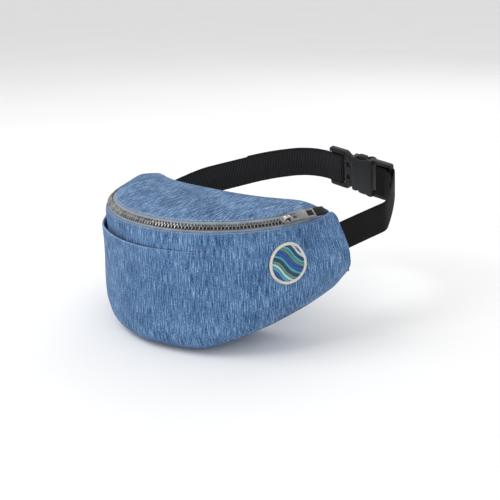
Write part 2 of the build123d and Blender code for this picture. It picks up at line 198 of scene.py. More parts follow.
def cloth_uv(points):
    """Flat place of each grid point: arc length along the rows and down the columns, in metres."""
    rows = len(points)
    u = running_length(points[rows // 3])
    u = np.tile(u - u.mean(), (rows, 1))
    return np.dstack([u, -edge_distance(points)["top"]]) * MM


def edge_distance(points):
    """Distance along the cloth from each grid point to each side of the grid."""
    n_rows, n_cols = points.shape[:2]
    across = np.linalg.norm(np.diff(points, axis=1), axis=2)
    down = np.linalg.norm(np.diff(points, axis=0), axis=2)
    from_left = np.hstack([np.zeros((n_rows, 1)), np.cumsum(across, axis=1)])
    from_top = np.vstack([np.zeros((1, n_cols)), np.cumsum(down, axis=0)])
    return {"left": from_left, "right": from_left[:, -1:] - from_left,
            "top": from_top, "bottom": from_top[-1:, :] - from_top}


def edge_wear(points):
    """How worn each point is, which is most along the edges."""
    nearest = np.min(list(edge_distance(points).values()), axis=0)
    return 0.7 * hump(nearest, 0.9)


def belongs(obj, body, node):
    """Hangs a piece on the body that carries it, and hides the CAD node that it stands for."""
    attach(obj, body)
    if node:
        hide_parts(node)
    return obj


def set_attribute(obj, name, values):
    attribute = obj.data.attributes.new(name, "FLOAT", "POINT")
    attribute.data.foreach_set("value", np.array(values, np.float32))


def clean(obj):
    """Merges points that fall together, and makes the faces point outwards."""
    bm = bmesh.new()
    bm.from_mesh(obj.data)
    bmesh.ops.remove_doubles(bm, verts=bm.verts, dist=0.02 * MM)
    bmesh.ops.dissolve_degenerate(bm, edges=bm.edges, dist=0.01 * MM)
    bmesh.ops.recalc_face_normals(bm, faces=bm.faces)
    bm.to_mesh(obj.data)
    bm.free()
    return obj


def thick_sheet(name, points, thickness, material, uv=None, teeth_shade_grid=None):
    """Closed sheet of cloth from its outer grid, with rounded edges. The optional last grid of values is
    kept as the attribute "chain"; on the zip tape it is painted shade, which darkens the tape under the
    teeth."""
    rows, cols = points.shape[:2]
    normals = grid_normals(points)
    if uv is None:
        uv = cloth_uv(points)
    inner = points - normals * thickness
    verts = list(points.reshape(-1, 3)) + list(inner.reshape(-1, 3))
    uvs = list(uv.reshape(-1, 2)) * 2
    count = rows * cols
    faces = grid_faces(rows, cols)
    faces += [tuple(reversed([count + i for i in f])) for f in grid_faces(rows, cols)]
    border = [(0, j) for j in range(cols)] + [(i, cols - 1) for i in range(1, rows)]
    border += [(rows - 1, j) for j in range(cols - 2, -1, -1)] + [(i, 0) for i in range(rows - 2, 0, -1)]
    first = len(verts)
    for i, j in border:
        row_step, col_step = int(i == rows - 1) - int(i == 0), int(j == cols - 1) - int(j == 0)
        out = (points[i, j] - points[i - row_step, j]) + (points[i, j] - points[i, j - col_step])
        length = np.linalg.norm(out)
        out = out / length if length > 1e-6 else out
        verts.append((points[i, j] + inner[i, j]) / 2 + out * thickness * 0.45)
        uvs.append(uv[i, j])
    total = len(border)
    for k in range(total):
        a, b = border[k], border[(k + 1) % total]
        oa, ob = a[0] * cols + a[1], b[0] * cols + b[1]
        ma, mb = first + k, first + (k + 1) % total
        faces.append((oa, ob, mb, ma))
        faces.append((ma, mb, count + ob, count + oa))
    obj = mesh_object(name, verts, faces, material, uv=uvs)
    wear = np.concatenate([edge_wear(points).ravel(), np.zeros(count), np.full(total, 0.8)])
    set_attribute(obj, "wear", wear)
    # The painted-shade grid, where given, goes to the outer, inner and rim points alike.
    if teeth_shade_grid is not None:
        rim = np.array([teeth_shade_grid[i, j] for i, j in border])
        set_attribute(obj, "chain", np.concatenate([teeth_shade_grid.ravel(), teeth_shade_grid.ravel(), rim]))
    return clean(obj)


# ---- Shape of the bag ----
def wall(z):
    """Centre and radius of the front arc and of the waist arc at height z."""
    t = -z / BAG_DEPTH
    return lerp(*FRONT_Y, t), lerp(*FRONT_R, t), lerp(*WAIST_Y, t), lerp(*WAIST_R, t)


def soft_tip(z):
    """Centre of the small arc that joins the two walls at the right-hand tip."""
    fy, fr, wy, wr = wall(z)
    fr, wr = fr - TIP_R, wr + TIP_R
    y = ((fr * fr - wr * wr) / (wy - fy) + fy + wy) / 2
    return math.sqrt(max(0.0, fr * fr - (y - fy) ** 2)), y


def outline(side, s, z, grow=0.0):
    """Point of the bag's plan outline at height z. side is 'front' or 'waist', and s runs from the
    left tip, -1, to the right tip, 1."""
    point = plain_outline(side, s, z, grow)
    deep = smoothstep(4.0, 48.0, -z)
    reach = TIP_REACH[int(s > 0)] * deep + 3.0 * (1 - deep)
    if s > 0:
        reach -= 9.0 * smoothstep(54.0, 84.0, -z)
    point[0] += math.copysign(reach * smoothstep(lerp(0.80, 0.62, deep), 1.0, abs(s)), s)
    return point


def plain_outline(side, s, z, grow):
    """The outline before its tips are filled: two arcs, joined by a small one at each tip."""
    fy, fr, wy, wr = wall(z)
    tx, ty = soft_tip(z)
    sign, s = (1 if s >= 0 else -1), abs(s)
    front_half, waist_half = math.atan2(tx, fy - ty), math.atan2(tx, wy - ty)
    front_start, waist_start = front_half - math.pi / 2, waist_half + math.pi / 2
    if side == "front":
        y, r, half, start = fy, fr + grow, front_half, front_start
    else:
        y, r, half, start = wy, wr - grow, waist_half, waist_start
    if s <= ARC_SHARE:
        turn = half * s / ARC_SHARE
        return np.array([sign * r * math.sin(turn), y - r * math.cos(turn), z])
    turn = lerp(start, (front_start + waist_start) / 2, (s - ARC_SHARE) / (1 - ARC_SHARE))
    r = TIP_R + grow
    return np.array([sign * (tx + r * math.cos(turn)), ty + r * math.sin(turn), z])


def base_z(x):
    """Height of the base: flat in the middle, and rising in an arc to each tip."""
    x = abs(x)
    low = -BAG_DEPTH - BASE_SAG * (1 - smoothstep(30, 140, x))
    over = max(0.0, x - BASE_FLAT)
    low += BASE_RISE_R - math.sqrt(max(0.0, BASE_RISE_R ** 2 - over ** 2))
    return low


def droop(x, y):
    """How far the top of the bag falls at a plan point near a tip."""
    return TIP_DROOP[int(x > 0)] * smoothstep(-34, 8, y) * smoothstep(88, 130, abs(x))


def foot(side, s):
    """Point where a wall would meet the base without any rounding."""
    z = -BAG_DEPTH
    for _ in range(12):
        z = 0.5 * z + 0.5 * base_z(outline(side, s, z)[0])
    return outline(side, s, z + TIP_CURL * smoothstep(0.86, 1.0, abs(s)) ** 2)


def crown(x, y):
    """Height of the top panel's plain surface over a plan point."""
    return CROWN_Z + CROWN_SLOPE * (TOP_EDGE_R - math.hypot(x, y - ZIP_Y)) - droop(x, y)


def hem_z(s):
    """Top edge of the front panel, which rises over each tip to close the end of the zip."""
    fall = TIP_DROOP[int(s > 0)] - 4.5
    return HEM_Z + 2.0 * smoothstep(0.84, 0.91, abs(s)) - fall * smoothstep(0.91, 1.0, abs(s))


HEM_STEPS = (0, 0.7, 1.4, 2.2, 3.0, 3.8, 4.8, 6.4, 8.6, 11.0, 13.4, 15.4, 17.0, 18.5)
MOUTH_STEPS = (0.7, 1.4, 2.2, 3.0, 3.8, 4.8, 6.6)
MOUTH_ROW = len(HEM_STEPS) - 1
LOW_ROWS = 18
WALL_ROWS = len(HEM_STEPS) + len(MOUTH_STEPS) + LOW_ROWS
BACK_ROWS = 30
CORNER_ROWS = 9
BASE_ROWS = 16
COLUMNS = 241


def rounded(a, corner, b, count):
    """Points of a soft corner between a and b, without its two ends."""
    steps = [(k + 1) / (count + 1) for k in range(count)]
    return [a * (1 - t) ** 2 + corner * 2 * t * (1 - t) + b * t * t for t in steps]


def belly(side, s, z):
    """How far the filled bag bulges out of its cut shape."""
    share = min(1.0, max(0.0, (HEM_Z - z) / 118.0))
    lengthwise = 1 - abs(s) ** 4
    if side == "front":
        return 2.2 * math.sin(math.pi * share ** 0.8) * lengthwise
    return 2.0 * math.sin(math.pi * share) * lengthwise


def profile(s):
    """Section of the bag at s: down the front, around under the base and up the back."""
    front_foot, back_foot = foot("front", s), foot("waist", s)
    width = np.linalg.norm(front_foot - back_foot)
    across = (back_foot - front_foot) / max(width, 1e-6)
    front_cut = min(FRONT_CORNER, 0.42 * width)
    back_cut = min(BACK_CORNER, 0.3 * width)
    points = []
    lift = hem_z(s) - HEM_Z
    heights = [HEM_Z - d + lift * (1 - d / HEM_STEPS[-1]) for d in HEM_STEPS]
    heights += [MOUTH_Z - d for d in MOUTH_STEPS]
    start = heights[-1]
    heights += [lerp(start, front_foot[2] + front_cut, (k + 1) / LOW_ROWS) for k in range(LOW_ROWS)]
    for z in heights:
        points.append(outline("front", s, z, belly("front", s, z)))
    points += rounded(points[-1], front_foot, front_foot + across * front_cut, CORNER_ROWS)
    for k in range(BASE_ROWS):
        t = k / (BASE_ROWS - 1)
        points.append(lerp(front_foot + across * front_cut, back_foot - across * back_cut, t))
    low = outline("waist", s, back_foot[2] + back_cut)
    low = outline("waist", s, low[2], belly("waist", s, low[2]))
    points += rounded(points[-1], back_foot, low, CORNER_ROWS) + [low]
    edge = outline("waist", s, 0.0)
    top = lerp(crown(edge[0], edge[1]) - 1.5, hem_z(s), smoothstep(0.93, 1.0, abs(s)))
    for k in range(1, BACK_ROWS):
        t = 1 - (1 - k / (BACK_ROWS - 1)) ** 1.6
        z = lerp(low[2], top, t)
        points.append(outline("waist", s, z, belly("waist", s, z)))
    return points


def column_places():
    """Places of the columns: closer together towards the tips."""
    even = np.linspace(-1, 1, COLUMNS)
    return np.sign(even) * (1 - (1 - np.abs(even)) ** 1.12)


def bag_shell():
    """The whole outer skin as one grid: rows run down the front, under the base and up the back."""
    skin = np.array([profile(s) for s in stations]).transpose(1, 0, 2)
    normals = grid_normals(skin)
    last = skin.shape[0] - 1
    for i in range(skin.shape[0]):
        for j in range(COLUMNS):
            x, y, z = skin[i, j]
            gain = 1 - abs(stations[j]) ** 8
            lump = 1.1 * wobble(x, y, z, 46, 3.1) + 0.45 * wobble(x, y, z, 19, 7.7)
            edge = min(1.0, i / 6, (last - i) / 6)
            skin[i, j] += normals[i, j] * lump * gain * edge
    return skin


stations = column_places()
shell = bag_shell()
FRONT_END = WALL_ROWS + CORNER_ROWS + 4
BACK_START = WALL_ROWS + CORNER_ROWS + BASE_ROWS - 3


def relief(points, edges, roll=0.9, stitch_dip=0.4):
    """Rolls a panel in at its turned edges, and dips it along the line of stitching beside them."""
    distance = edge_distance(points)
    nearest = np.min([distance[e] for e in edges], axis=0)
    dip = roll * hump(nearest, 1.0) + stitch_dip * hump(nearest, 0.8, STITCH_AT)
    return points - grid_normals(points) * dip[:, :, None]


# ---- Materials ----
class Nodes:
    """Short calls for building one material's node tree."""

    def __init__(self, name, metallic=0.0, sheen=0.0, specular=0.5):
        self.material = bpy.data.materials.new(name)
        self.material.use_nodes = True
        self.tree = self.material.node_tree
        self.shader = self.tree.nodes["Principled BSDF"]
        self.shader.inputs["Metallic"].default_value = metallic
        self.shader.inputs["Specular IOR Level"].default_value = specular
        self.shader.inputs["Sheen Weight"].default_value = sheen
        self.shader.inputs["Sheen Roughness"].default_value = 0.5

    def add(self, kind, **values):
        node = self.tree.nodes.new(kind)
        for key, value in values.items():
            if key in node.inputs:
                node.inputs[key].default_value = value
            else:
                setattr(node, key, value)
        return node

    def link(self, out, into):
        self.tree.links.new(out, into)

    def place(self, source="Object", scale=(1, 1, 1), turn=(0, 0, 0)):
        """Mapped coordinates: 'Object' in metres, or 'UV' for places on the flat cloth."""
        coords = self.add("ShaderNodeTexCoord")
        mapping = self.add("ShaderNodeMapping")
        mapping.inputs["Scale"].default_value = scale
        mapping.inputs["Rotation"].default_value = [math.radians(a) for a in turn]
        self.link(coords.outputs[source], mapping.inputs["Vector"])
        return mapping.outputs["Vector"]

    def noise(self, vector, scale, detail=3.0, roughness=0.55):
        node = self.add("ShaderNodeTexNoise", Scale=scale, Detail=detail, Roughness=roughness)
        self.link(vector, node.inputs["Vector"])
        return node.outputs["Fac"]

    def wave(self, vector, scale, distortion, direction, detail=2.0, detail_scale=1.0):
        node = self.add("ShaderNodeTexWave", Scale=scale, Distortion=distortion, Detail=detail)
        node.inputs["Detail Scale"].default_value = detail_scale
        node.bands_direction = direction
        self.link(vector, node.inputs["Vector"])
        return node.outputs["Fac"]

    def math(self, operation, a, b=0.5, clamp=False):
        node = self.add("ShaderNodeMath", operation=operation, use_clamp=clamp)
        for socket, value in zip(node.inputs, (a, b)):
            if isinstance(value, (int, float)):
                socket.default_value = value
            else:
                self.link(value, socket)
        return node.outputs[0]

    def ramp(self, fac, *stops):
        """Colours at places from 0 to 1. A stop is (place, colour)."""
        node = self.add("ShaderNodeValToRGB")
        elements = node.color_ramp.elements
        while len(elements) < len(stops):
            elements.new(0.5)
        for element, (at, colour) in zip(elements, stops):
            element.position = at
            element.color = (*colour, 1.0)
        self.link(fac, node.inputs["Fac"])
        return node.outputs["Color"]

    def grey(self, fac, *stops):
        return self.ramp(fac, *[(at, (v, v, v)) for at, v in stops])

    def mix(self, fac, a, b, mode="MIX"):
        node = self.add("ShaderNodeMix", data_type="RGBA", blend_type=mode)
        for socket, value in zip((node.inputs[0], node.inputs[6], node.inputs[7]), (fac, a, b)):
            if isinstance(value, (int, float)):
                socket.default_value = value
            elif isinstance(value, tuple):
                socket.default_value = (*value, 1.0)
            else:
                self.link(value, socket)
        return node.outputs[2]

    def shade(self, colour, by):
        """A colour multiplied by another."""
        return self.mix(1.0, colour, by, "MULTIPLY")

    def plus(self, a, b):
        return self.math("ADD", a, b)

    def times(self, a, b):
        return self.math("MULTIPLY", a, b)

    def attribute(self, name):
        return self.add("ShaderNodeAttribute", attribute_name=name).outputs["Fac"]

    def bump(self, height, distance, strength):
        """Bump of a real height in metres."""
        node = self.add("ShaderNodeBump", Strength=strength, Distance=distance)
        self.link(height, node.inputs["Height"])
        return node.outputs["Normal"]

    def finish(self, colour, roughness=None, normal=None):
        """Feeds the shader. A plain number is a constant roughness."""
        for value, socket in ((colour, "Base Color"), (roughness, "Roughness"), (normal, "Normal")):
            if isinstance(value, float):
                self.shader.inputs[socket].default_value = value
            elif value is not None:
                self.link(value, self.shader.inputs[socket])
        return self.material


DENIM_TONES = ((0.415, (0.009, 0.042, 0.125)), (0.475, (0.045, 0.130, 0.30)),
               (0.540, (0.115, 0.255, 0.475)), (0.605, (0.34, 0.51, 0.74)))
WORN_DENIM = (0.42, 0.55, 0.72)


def denim(name, tint=1.0, turn=0.0, soft=1.0):
    """Washed slub denim: pale and dark warp streaks, a fine twill line and a hazy fade. soft below 1
    draws its tones closer to the middle of the streaks."""
    n = Nodes(name, sheen=0.06)

    def cloth_place(stretch=(1.0, 1.0, 1.0), more_turn=0.0):
        return n.place("UV", scale=stretch, turn=(0, 0, turn + more_turn))

    long_slub = n.noise(cloth_place((1.0, 0.07, 1)), 1050, 3.0, 0.62)
    short_slub = n.noise(cloth_place((1.0, 0.30, 1)), 1700, 2.0, 0.6)
    haze = n.noise(cloth_place(), 26, 3.0, 0.6)
    twill = n.wave(cloth_place(more_turn=63), 330, 1.4, "X", detail_scale=2.0)
    weft = n.noise(cloth_place((0.5, 1.0, 1)), 2400, 1.0)
    streak = n.plus(n.times(long_slub, 0.60), n.times(short_slub, 0.40))
    streak = n.plus(n.times(streak, 0.86), n.times(haze, 0.14))
    colour = n.ramp(streak, *[(0.5 + (place - 0.5) * soft, tone) for place, tone in DENIM_TONES])
    colour = n.shade(colour, n.grey(twill, (0.0, 0.80), (1.0, 1.12)))
    colour = n.shade(colour, n.grey(weft, (0.3, 0.88), (0.7, 1.12)))
    colour = n.shade(colour, (tint,) * 3)
    worn = n.math("MULTIPLY", n.attribute("wear"), n.grey(short_slub, (0.35, 0.25), (0.6, 1.0)), clamp=True)
    colour = n.mix(worn, colour, WORN_DENIM)
    height = n.plus(streak, n.times(twill, 0.22))
    return n.finish(colour, n.grey(streak, (0.3, 0.93), (0.7, 0.78)), n.bump(height, 0.0011, 0.75))


def woven_tape(name):
    """Zip tape: pale grey-blue, with fine ribs along it and a herringbone across, and painted shade, near
    black, where it runs under the teeth.
    """
    n = Nodes(name, sheen=0.15)
    ribs = n.wave(n.place("UV"), 640, 0.6, "Y")
    cross = n.wave(n.place("UV", turn=(0, 0, 40)), 900, 0.8, "X")
    dirt = n.noise(n.place("UV"), 90, 4.0)
    colour = n.ramp(dirt, (0.3, (0.24, 0.29, 0.37)), (0.7, (0.36, 0.42, 0.50)))
    # Painted shade: where the "chain" attribute is 1, under the teeth, the tape is mixed to near black to
    # stand for the shadow in the gaps between the teeth.
    colour = n.mix(n.attribute("chain"), colour, (0.025, 0.026, 0.030))
    colour = n.shade(colour, n.grey(ribs, (0, 0.80), (1, 1.05)))
    height = n.plus(ribs, n.times(cross, 0.6))
    return n.finish(colour, 0.8, n.bump(height, 0.0003, 0.6))


def metal(name, dark, bright, roughness=0.32, grime=0.5, scale=900):
    """Plated zip metal, brighter where its "wear" attribute or its patchy tone is high, and darker
    elsewhere. On the teeth the "wear" marks their tops, a painted highlight that is partly rubbed metal,
    and the near-black rest is painted shade.
    """
    n = Nodes(name, metallic=1.0)
    patchy = n.noise(n.place(), scale, 4.0, 0.65)
    rubbed = n.plus(n.times(n.attribute("wear"), 0.75), n.times(patchy, grime))
    colour = n.ramp(rubbed, (0.2, dark), (0.85, bright))
    scratches = n.noise(n.place(scale=(1, 7, 1), turn=(0, 0, 27)), 1600, 2.0)
    rough = n.grey(scratches, (0.3, roughness * 0.75), (0.75, min(0.9, roughness * 1.7)))
    return n.finish(colour, rough, n.bump(scratches, 0.00006, 0.5))


def webbing(name, gain):
    """Black belt webbing: ribs across it, with a fine plain weave on them. The last argument scales its
    tones: above 1 the webbing is painted lighter, as if lit, and below 1 darker, as if in shade.
    """
    n = Nodes(name, sheen=0.02, specular=0.10)
    ribs = n.attribute("rib_crest_shade")
    yarn = n.wave(n.place("UV"), 720, 0.8, "Y", detail=1.0)
    fuzz = n.noise(n.place("UV"), 3200, 2.0)
    dust = n.noise(n.place("UV"), 60, 4.0, 0.6)
    # Painted light and shade: the crests of the ribs are painted lighter and the grooves between them near
    # black.
    tones = ((0.0, (0.002, 0.002, 0.0022)), (0.55, (0.009, 0.009, 0.0095)), (1.0, (0.030, 0.030, 0.032)))
    # The tones are scaled up as painted light or down as painted shade.
    colour = n.ramp(ribs, *((place, tuple(c * gain for c in tone)) for place, tone in tones))
    colour = n.shade(colour, n.grey(yarn, (0, 0.72), (1, 1.15)))
    colour = n.mix(n.times(n.grey(dust, (0.45, 0.0), (0.8, 0.06)), fuzz), colour, (0.10, 0.10, 0.105))
    height = n.plus(n.times(yarn, 0.7), n.times(fuzz, 0.5))
    return n.finish(colour, n.grey(fuzz, (0.3, 0.52), (0.7, 0.78)), n.bump(height, 0.00025, 0.7))


def moulded(name, colour=(0.014, 0.014, 0.015)):
    """Matte moulded acetal with a fine spark-eroded grain and a few handling marks."""
    n = Nodes(name, specular=0.32)
    grain = n.noise(n.place(), 2600, 2.0, 0.6)
    marks = n.noise(n.place(scale=(1, 5, 1), turn=(20, 0, 35)), 160, 5.0, 0.7)
    tone = n.ramp(marks, (0.35, colour), (0.75, tuple(c * 1.55 for c in colour)))
    tone = n.mix(n.times(n.attribute("wear"), 0.5), tone, tuple(c * 3.2 for c in colour))
    rough = n.grey(marks, (0.3, 0.42), (0.75, 0.60))
    return n.finish(tone, rough, n.bump(grain, 0.00007, 0.6))


def thread(name, colour, roughness=0.6, twist=1400):
    """Sewing or embroidery thread: twisted, with a silky side light."""
    n = Nodes(name, sheen=0.3)
    strands = n.wave(n.place("UV", turn=(0, 0, 30)), twist, 0.4, "X")
    fuzz = n.noise(n.place(), 1500, 2.0)
    dark, pale = tuple(c * 0.78 for c in colour), tuple(min(1, c * 1.15) for c in colour)
    tone = n.ramp(fuzz, (0.3, dark), (0.7, pale))
    return n.finish(tone, roughness, n.bump(n.plus(strands, fuzz), 0.00012, 0.6))


def plain_cloth(name, dark, pale, scale=700):
    """Plain-woven cloth, for the lining and the patch's ground."""
    n = Nodes(name, sheen=0.1)
    warp = n.wave(n.place("UV"), scale, 0.5, "X")
    weft = n.wave(n.place("UV"), scale, 0.5, "Y")
    weave = n.times(warp, weft)
    cloud = n.noise(n.place("UV"), 70, 4.0)
    colour = n.mix(n.times(cloud, weave), dark, pale)
    return n.finish(colour, 0.85, n.bump(weave, 0.0002, 0.8))


def foam(name):
    """Open-celled padding."""
    n = Nodes(name)
    cells = n.add("ShaderNodeTexVoronoi", Scale=900.0)
    n.link(n.place(), cells.inputs["Vector"])
    colour = n.ramp(cells.outputs["Distance"], (0.0, (0.62, 0.61, 0.56)), (0.6, (0.86, 0.85, 0.80)))
    return n.finish(colour, 0.95, n.bump(cells.outputs["Distance"], 0.0005, 0.7))


DENIM = denim("denim_front")
DENIM_TOP = denim("denim_top", tint=0.86, turn=-14.0, soft=0.75)
DENIM_INNER = denim("denim_reverse", tint=1.35)
TAPE = woven_tape("tape_weave")
# The teeth's dark tone, near black, is painted shade on their sides and in their gaps; the bright tone on
# their tops is a painted highlight, partly rubbed metal.
TEETH = metal("nickel_teeth", (0.008, 0.008, 0.008), (0.44, 0.435, 0.42), 0.24, 0.22, 1100)
SLIDER = metal("nickel_slider", (0.22, 0.21, 0.20), (0.80, 0.79, 0.77), 0.22, 0.55)
PULL_METAL = metal("nickel_pull", (0.20, 0.20, 0.20), (0.62, 0.62, 0.62), 0.34, 0.6)
GRIP = metal("gunmetal_grip", (0.018, 0.018, 0.018), (0.10, 0.10, 0.10), 0.4, 0.6)
# Lit and shaded copies of one black webbing: the left strap is painted lighter as if lit, and the right
# strap darker as if in shade.
WEB_PAINTED_LIT = webbing("black_webbing_painted_lit", 2.1)
WEB_PAINTED_SHADE = webbing("black_webbing_painted_shade", 0.5)
PLASTIC = moulded("black_acetal")
LATCH_PLASTIC = moulded("black_acetal_latch", (0.011, 0.011, 0.012))
SEAM_THREAD = thread("denim_thread", (0.16, 0.27, 0.44))
WEB_THREAD = thread("black_thread", (0.012, 0.012, 0.013))
CREAM = thread("cream_thread", (0.84, 0.80, 0.71), twist=900)
LINING = plain_cloth("lining_weave", (0.035, 0.045, 0.07), (0.12, 0.14, 0.19))
PATCH_CLOTH = plain_cloth("patch_twill", (0.012, 0.05, 0.15), (0.04, 0.12, 0.28), 900)
FOAM = foam("padding_foam")


# ---- Denim panels ----
def solid_cloth(obj):
    """Gives a sheet the cloth's thickness inwards, with rounded edges."""
    for kind, values in (("SOLIDIFY", {"thickness": CLOTH * MM, "offset": -1.0}),
                         ("BEVEL", {"width": 0.45 * MM, "segments": 2, "limit_method": "ANGLE",
                                    "angle_limit": math.radians(55)})):
        modifier = obj.modifiers.new(kind.title(), kind)
        for key, value in values.items():
            setattr(modifier, key, value)
    bpy.context.view_layer.update()
    evaluated = obj.evaluated_get(bpy.context.evaluated_depsgraph_get())
    mesh = bpy.data.meshes.new_from_object(evaluated)
    bm = bmesh.new()
    bm.from_mesh(mesh)
    lost = [v for v in bm.verts if not all(math.isfinite(c) for c in v.co)]
    bmesh.ops.delete(bm, geom=lost, context="VERTS")     # points that the bevel leaves without a place
    bm.to_mesh(mesh)
    bm.free()
    obj.modifiers.clear()
    old, obj.data = obj.data, mesh
    bpy.data.meshes.remove(old)
    return obj


def mouth_opening(s):
    """How far the pocket's mouth gapes at s, from 0 to 1."""
    turn = s / ARC_SHARE * FRONT_HALF_TURN
    t = (turn - MOUTH[0]) / (MOUTH[1] - MOUTH[0])
    return smoothstep(0.0, 0.12, t) * (1 - 0.85 * smoothstep(0.45, 0.98, t)) if 0 < t < 1 else 0.0


def front_cloth():
    """The front panel: one cloth with a slit for the pocket, whose lower lip stands proud."""
    points = relief(shell[:FRONT_END + 1], ("top", "left", "right"))
    normals = grid_normals(points)
    gape = np.array([mouth_opening(s) for s in stations])
    depth = np.array([HEM_Z - d for d in HEM_STEPS])
    upper = points[:MOUTH_ROW + 1].copy()
    for i, z in enumerate(depth):
        recess = 2.9 * min(1.0, max(0.0, (-9.0 - z) / (-9.0 - MOUTH_Z))) ** 1.6
        upper[i] -= normals[i] * (recess * gape)[:, None]
    upper[-1, :, 2] -= 3.5 * gape
    lower = points[MOUTH_ROW:].copy()
    below = edge_distance(lower)["top"]
    proud = 2.8 * hump(below, 14.0) + 0.5 * hump(below, 2.2)
    proud -= 0.5 * hump(below, 0.8, STITCH_AT) + 0.9 * hump(below, 0.8)
    sag = np.array([0.9 * wobble(s * 60, 3.0, 0.0, 17.0, 5.5) for s in stations]) * gape
    lower += normals[MOUTH_ROW:] * (proud * gape)[:, :, None]
    lower[:, :, 2] -= (1.2 * gape + sag) * hump(below, 9.0)
    uv = cloth_uv(points)
    verts = list(upper.reshape(-1, 3))
    uvs = list(uv[:MOUTH_ROW + 1].reshape(-1, 2))
    faces = grid_faces(MOUTH_ROW + 1, COLUMNS)
    own = np.ones(lower.shape[:2], bool)
    own[0] = gape != 0               # where the mouth is shut, the two parts share their points
    index = np.tile(MOUTH_ROW * COLUMNS + np.arange(COLUMNS), (len(lower), 1))
    index[own] = len(verts) + np.arange(own.sum())
    verts += list(lower[own])
    uvs += list(uv[MOUTH_ROW:][own])
    faces += [tuple(index.ravel()[k] for k in face) for face in grid_faces(len(lower), COLUMNS)]
    obj = mesh_object("front_panel_cloth", verts, faces, DENIM, uv=uvs)
    wear = np.zeros(len(verts))
    wear[:upper.shape[0] * COLUMNS] = (0.5 * hump(edge_distance(upper)["top"], 1.0)).ravel()
    lip = 0.75 * hump(below, 1.1) * gape
    wear[index] = np.maximum(wear[index], lip)
    set_attribute(obj, "wear", wear)
    return solid_cloth(obj), lower


front, lower_front = front_cloth()
belongs(front, "bag", "front_panel")
base_rows = shell[FRONT_END:BACK_START + 1, 2:-2]
base_points = relief(base_rows, ("top", "bottom"), roll=1.0, stitch_dip=0.0)
belongs(thick_sheet("base_panel_cloth", base_points, CLOTH, DENIM), "bag", "base_panel")
back_points = relief(shell[BACK_START:], ("bottom", "left", "right"))
belongs(thick_sheet("back_panel_cloth", back_points, CLOTH, DENIM), "bag", "back_panel")


TOP_HALF_TURN = 98.0                 # turn from the middle of the front to an end of the top panel
TOP_SLUMP = 5.2                      # fall of the top panel's rear edge near its left end


def top_grid():
    """The top panel: a soft crescent between the zip tape and the seam above the wearer's back."""
    n_rows, n_cols = 30, 181
    points = np.zeros((n_rows, n_cols, 3))
    for j in range(n_cols):
        t = -1 + 2 * j / (n_cols - 1)
        turn = math.radians(TOP_HALF_TURN * t)
        near = np.array([TOP_EDGE_R * math.sin(turn), ZIP_Y - TOP_EDGE_R * math.cos(turn)])
        far = outline("waist", 0.945 * t, 0.0, 0.6)[:2]
        slump = TOP_SLUMP * hump(t, 0.16, -0.86)
        for i in range(n_rows):
            k = i / (n_rows - 1)
            share = (1 - math.cos(math.pi * k)) / 2 * 0.6 + k * 0.4
            plan = lerp(far, near, share)
            width = np.linalg.norm(far - near)
            fill = 2.6 * math.sin(math.pi * share) * min(1.0, width / 60)
            fill += 3.6 * smoothstep(0.0, 0.35, 1 - share) * smoothstep(0.30, 0.62, -t) * min(1.0, k * 5)
            lump = 0.8 * wobble(plan[0], plan[1], 0, 38, 2.2) * math.sin(math.pi * share)
            fall = slump * (1 - share) ** 2 * smoothstep(0.0, 0.1, 1 - share)
            points[i, j] = (*plan, crown(*plan) + fill + lump - fall)
    return points


top_points = relief(top_grid(), ("top", "bottom"))
top = thick_sheet("top_panel_cloth", top_points, CLOTH, DENIM_TOP, uv=top_points[:, :, :2] * MM)
belongs(top, "bag", "top_panel")


CAP_RADII = (117.0, 121.5, 127.0, 132.0)   # section of a cap over the tape: distances from the zip's centre
CAP_HEIGHTS = (4.7, 4.9, 1.9, -1.6)        # and the heights there


def end_cap(side):
    """Turned cloth that closes a tip of the bag over the end of the zip tape."""
    n_a, n_b = 30, 33
    points = np.zeros((n_b, n_a, 3))
    start, first = math.radians(CAP_TURN), CAP_TURN / FRONT_HALF_TURN * ARC_SHARE
    corner = np.array([side * CAP_R * math.sin(start), ZIP_Y - CAP_R * math.cos(start), 0.0])
    for a in range(n_a):
        t = a / (n_a - 1)
        near = outline("front", side * lerp(first, 0.995, t), 0.0, -1.6)
        far = outline("waist", side * lerp(0.86, 0.995, t), 0.0, -1.0)
        far = lerp(corner, far, smoothstep(0.0, 0.4, t))
        for b in range(n_b):
            k = b / (n_b - 1)
            x, y = lerp(far, near, k)[:2]
            over = np.interp(math.hypot(x, y - ZIP_Y), CAP_RADII, CAP_HEIGHTS) - droop(x, y)
            edge = crown(far[0], far[1]) - 3.0 if k < 0.5 else over - 1.8
            rise = smoothstep(0.0, 0.12, k) * smoothstep(1.0, 0.90, k)
            points[b, a] = (x, y, lerp(edge, over, rise))
    if side < 0:
        points = points[:, ::-1]
    return points


for side, word, node in ((1, "right", "zip_end_tabs"), (-1, "left", None)):
    cap_points = end_cap(side)
    cap = thick_sheet(f"tip_cap_{word}", cap_points, 1.5, DENIM, uv=cap_points[:, :, :2] * MM)
    belongs(cap, "bag", node)


# ---- Inside of the bag ----
def inner_sheet(name, source, inset, thickness, material, node):
    """A layer that follows a stretch of the shell at a distance inside it."""
    points = source - grid_normals(source) * inset
    return belongs(thick_sheet(name, points, thickness, material), "bag", node)


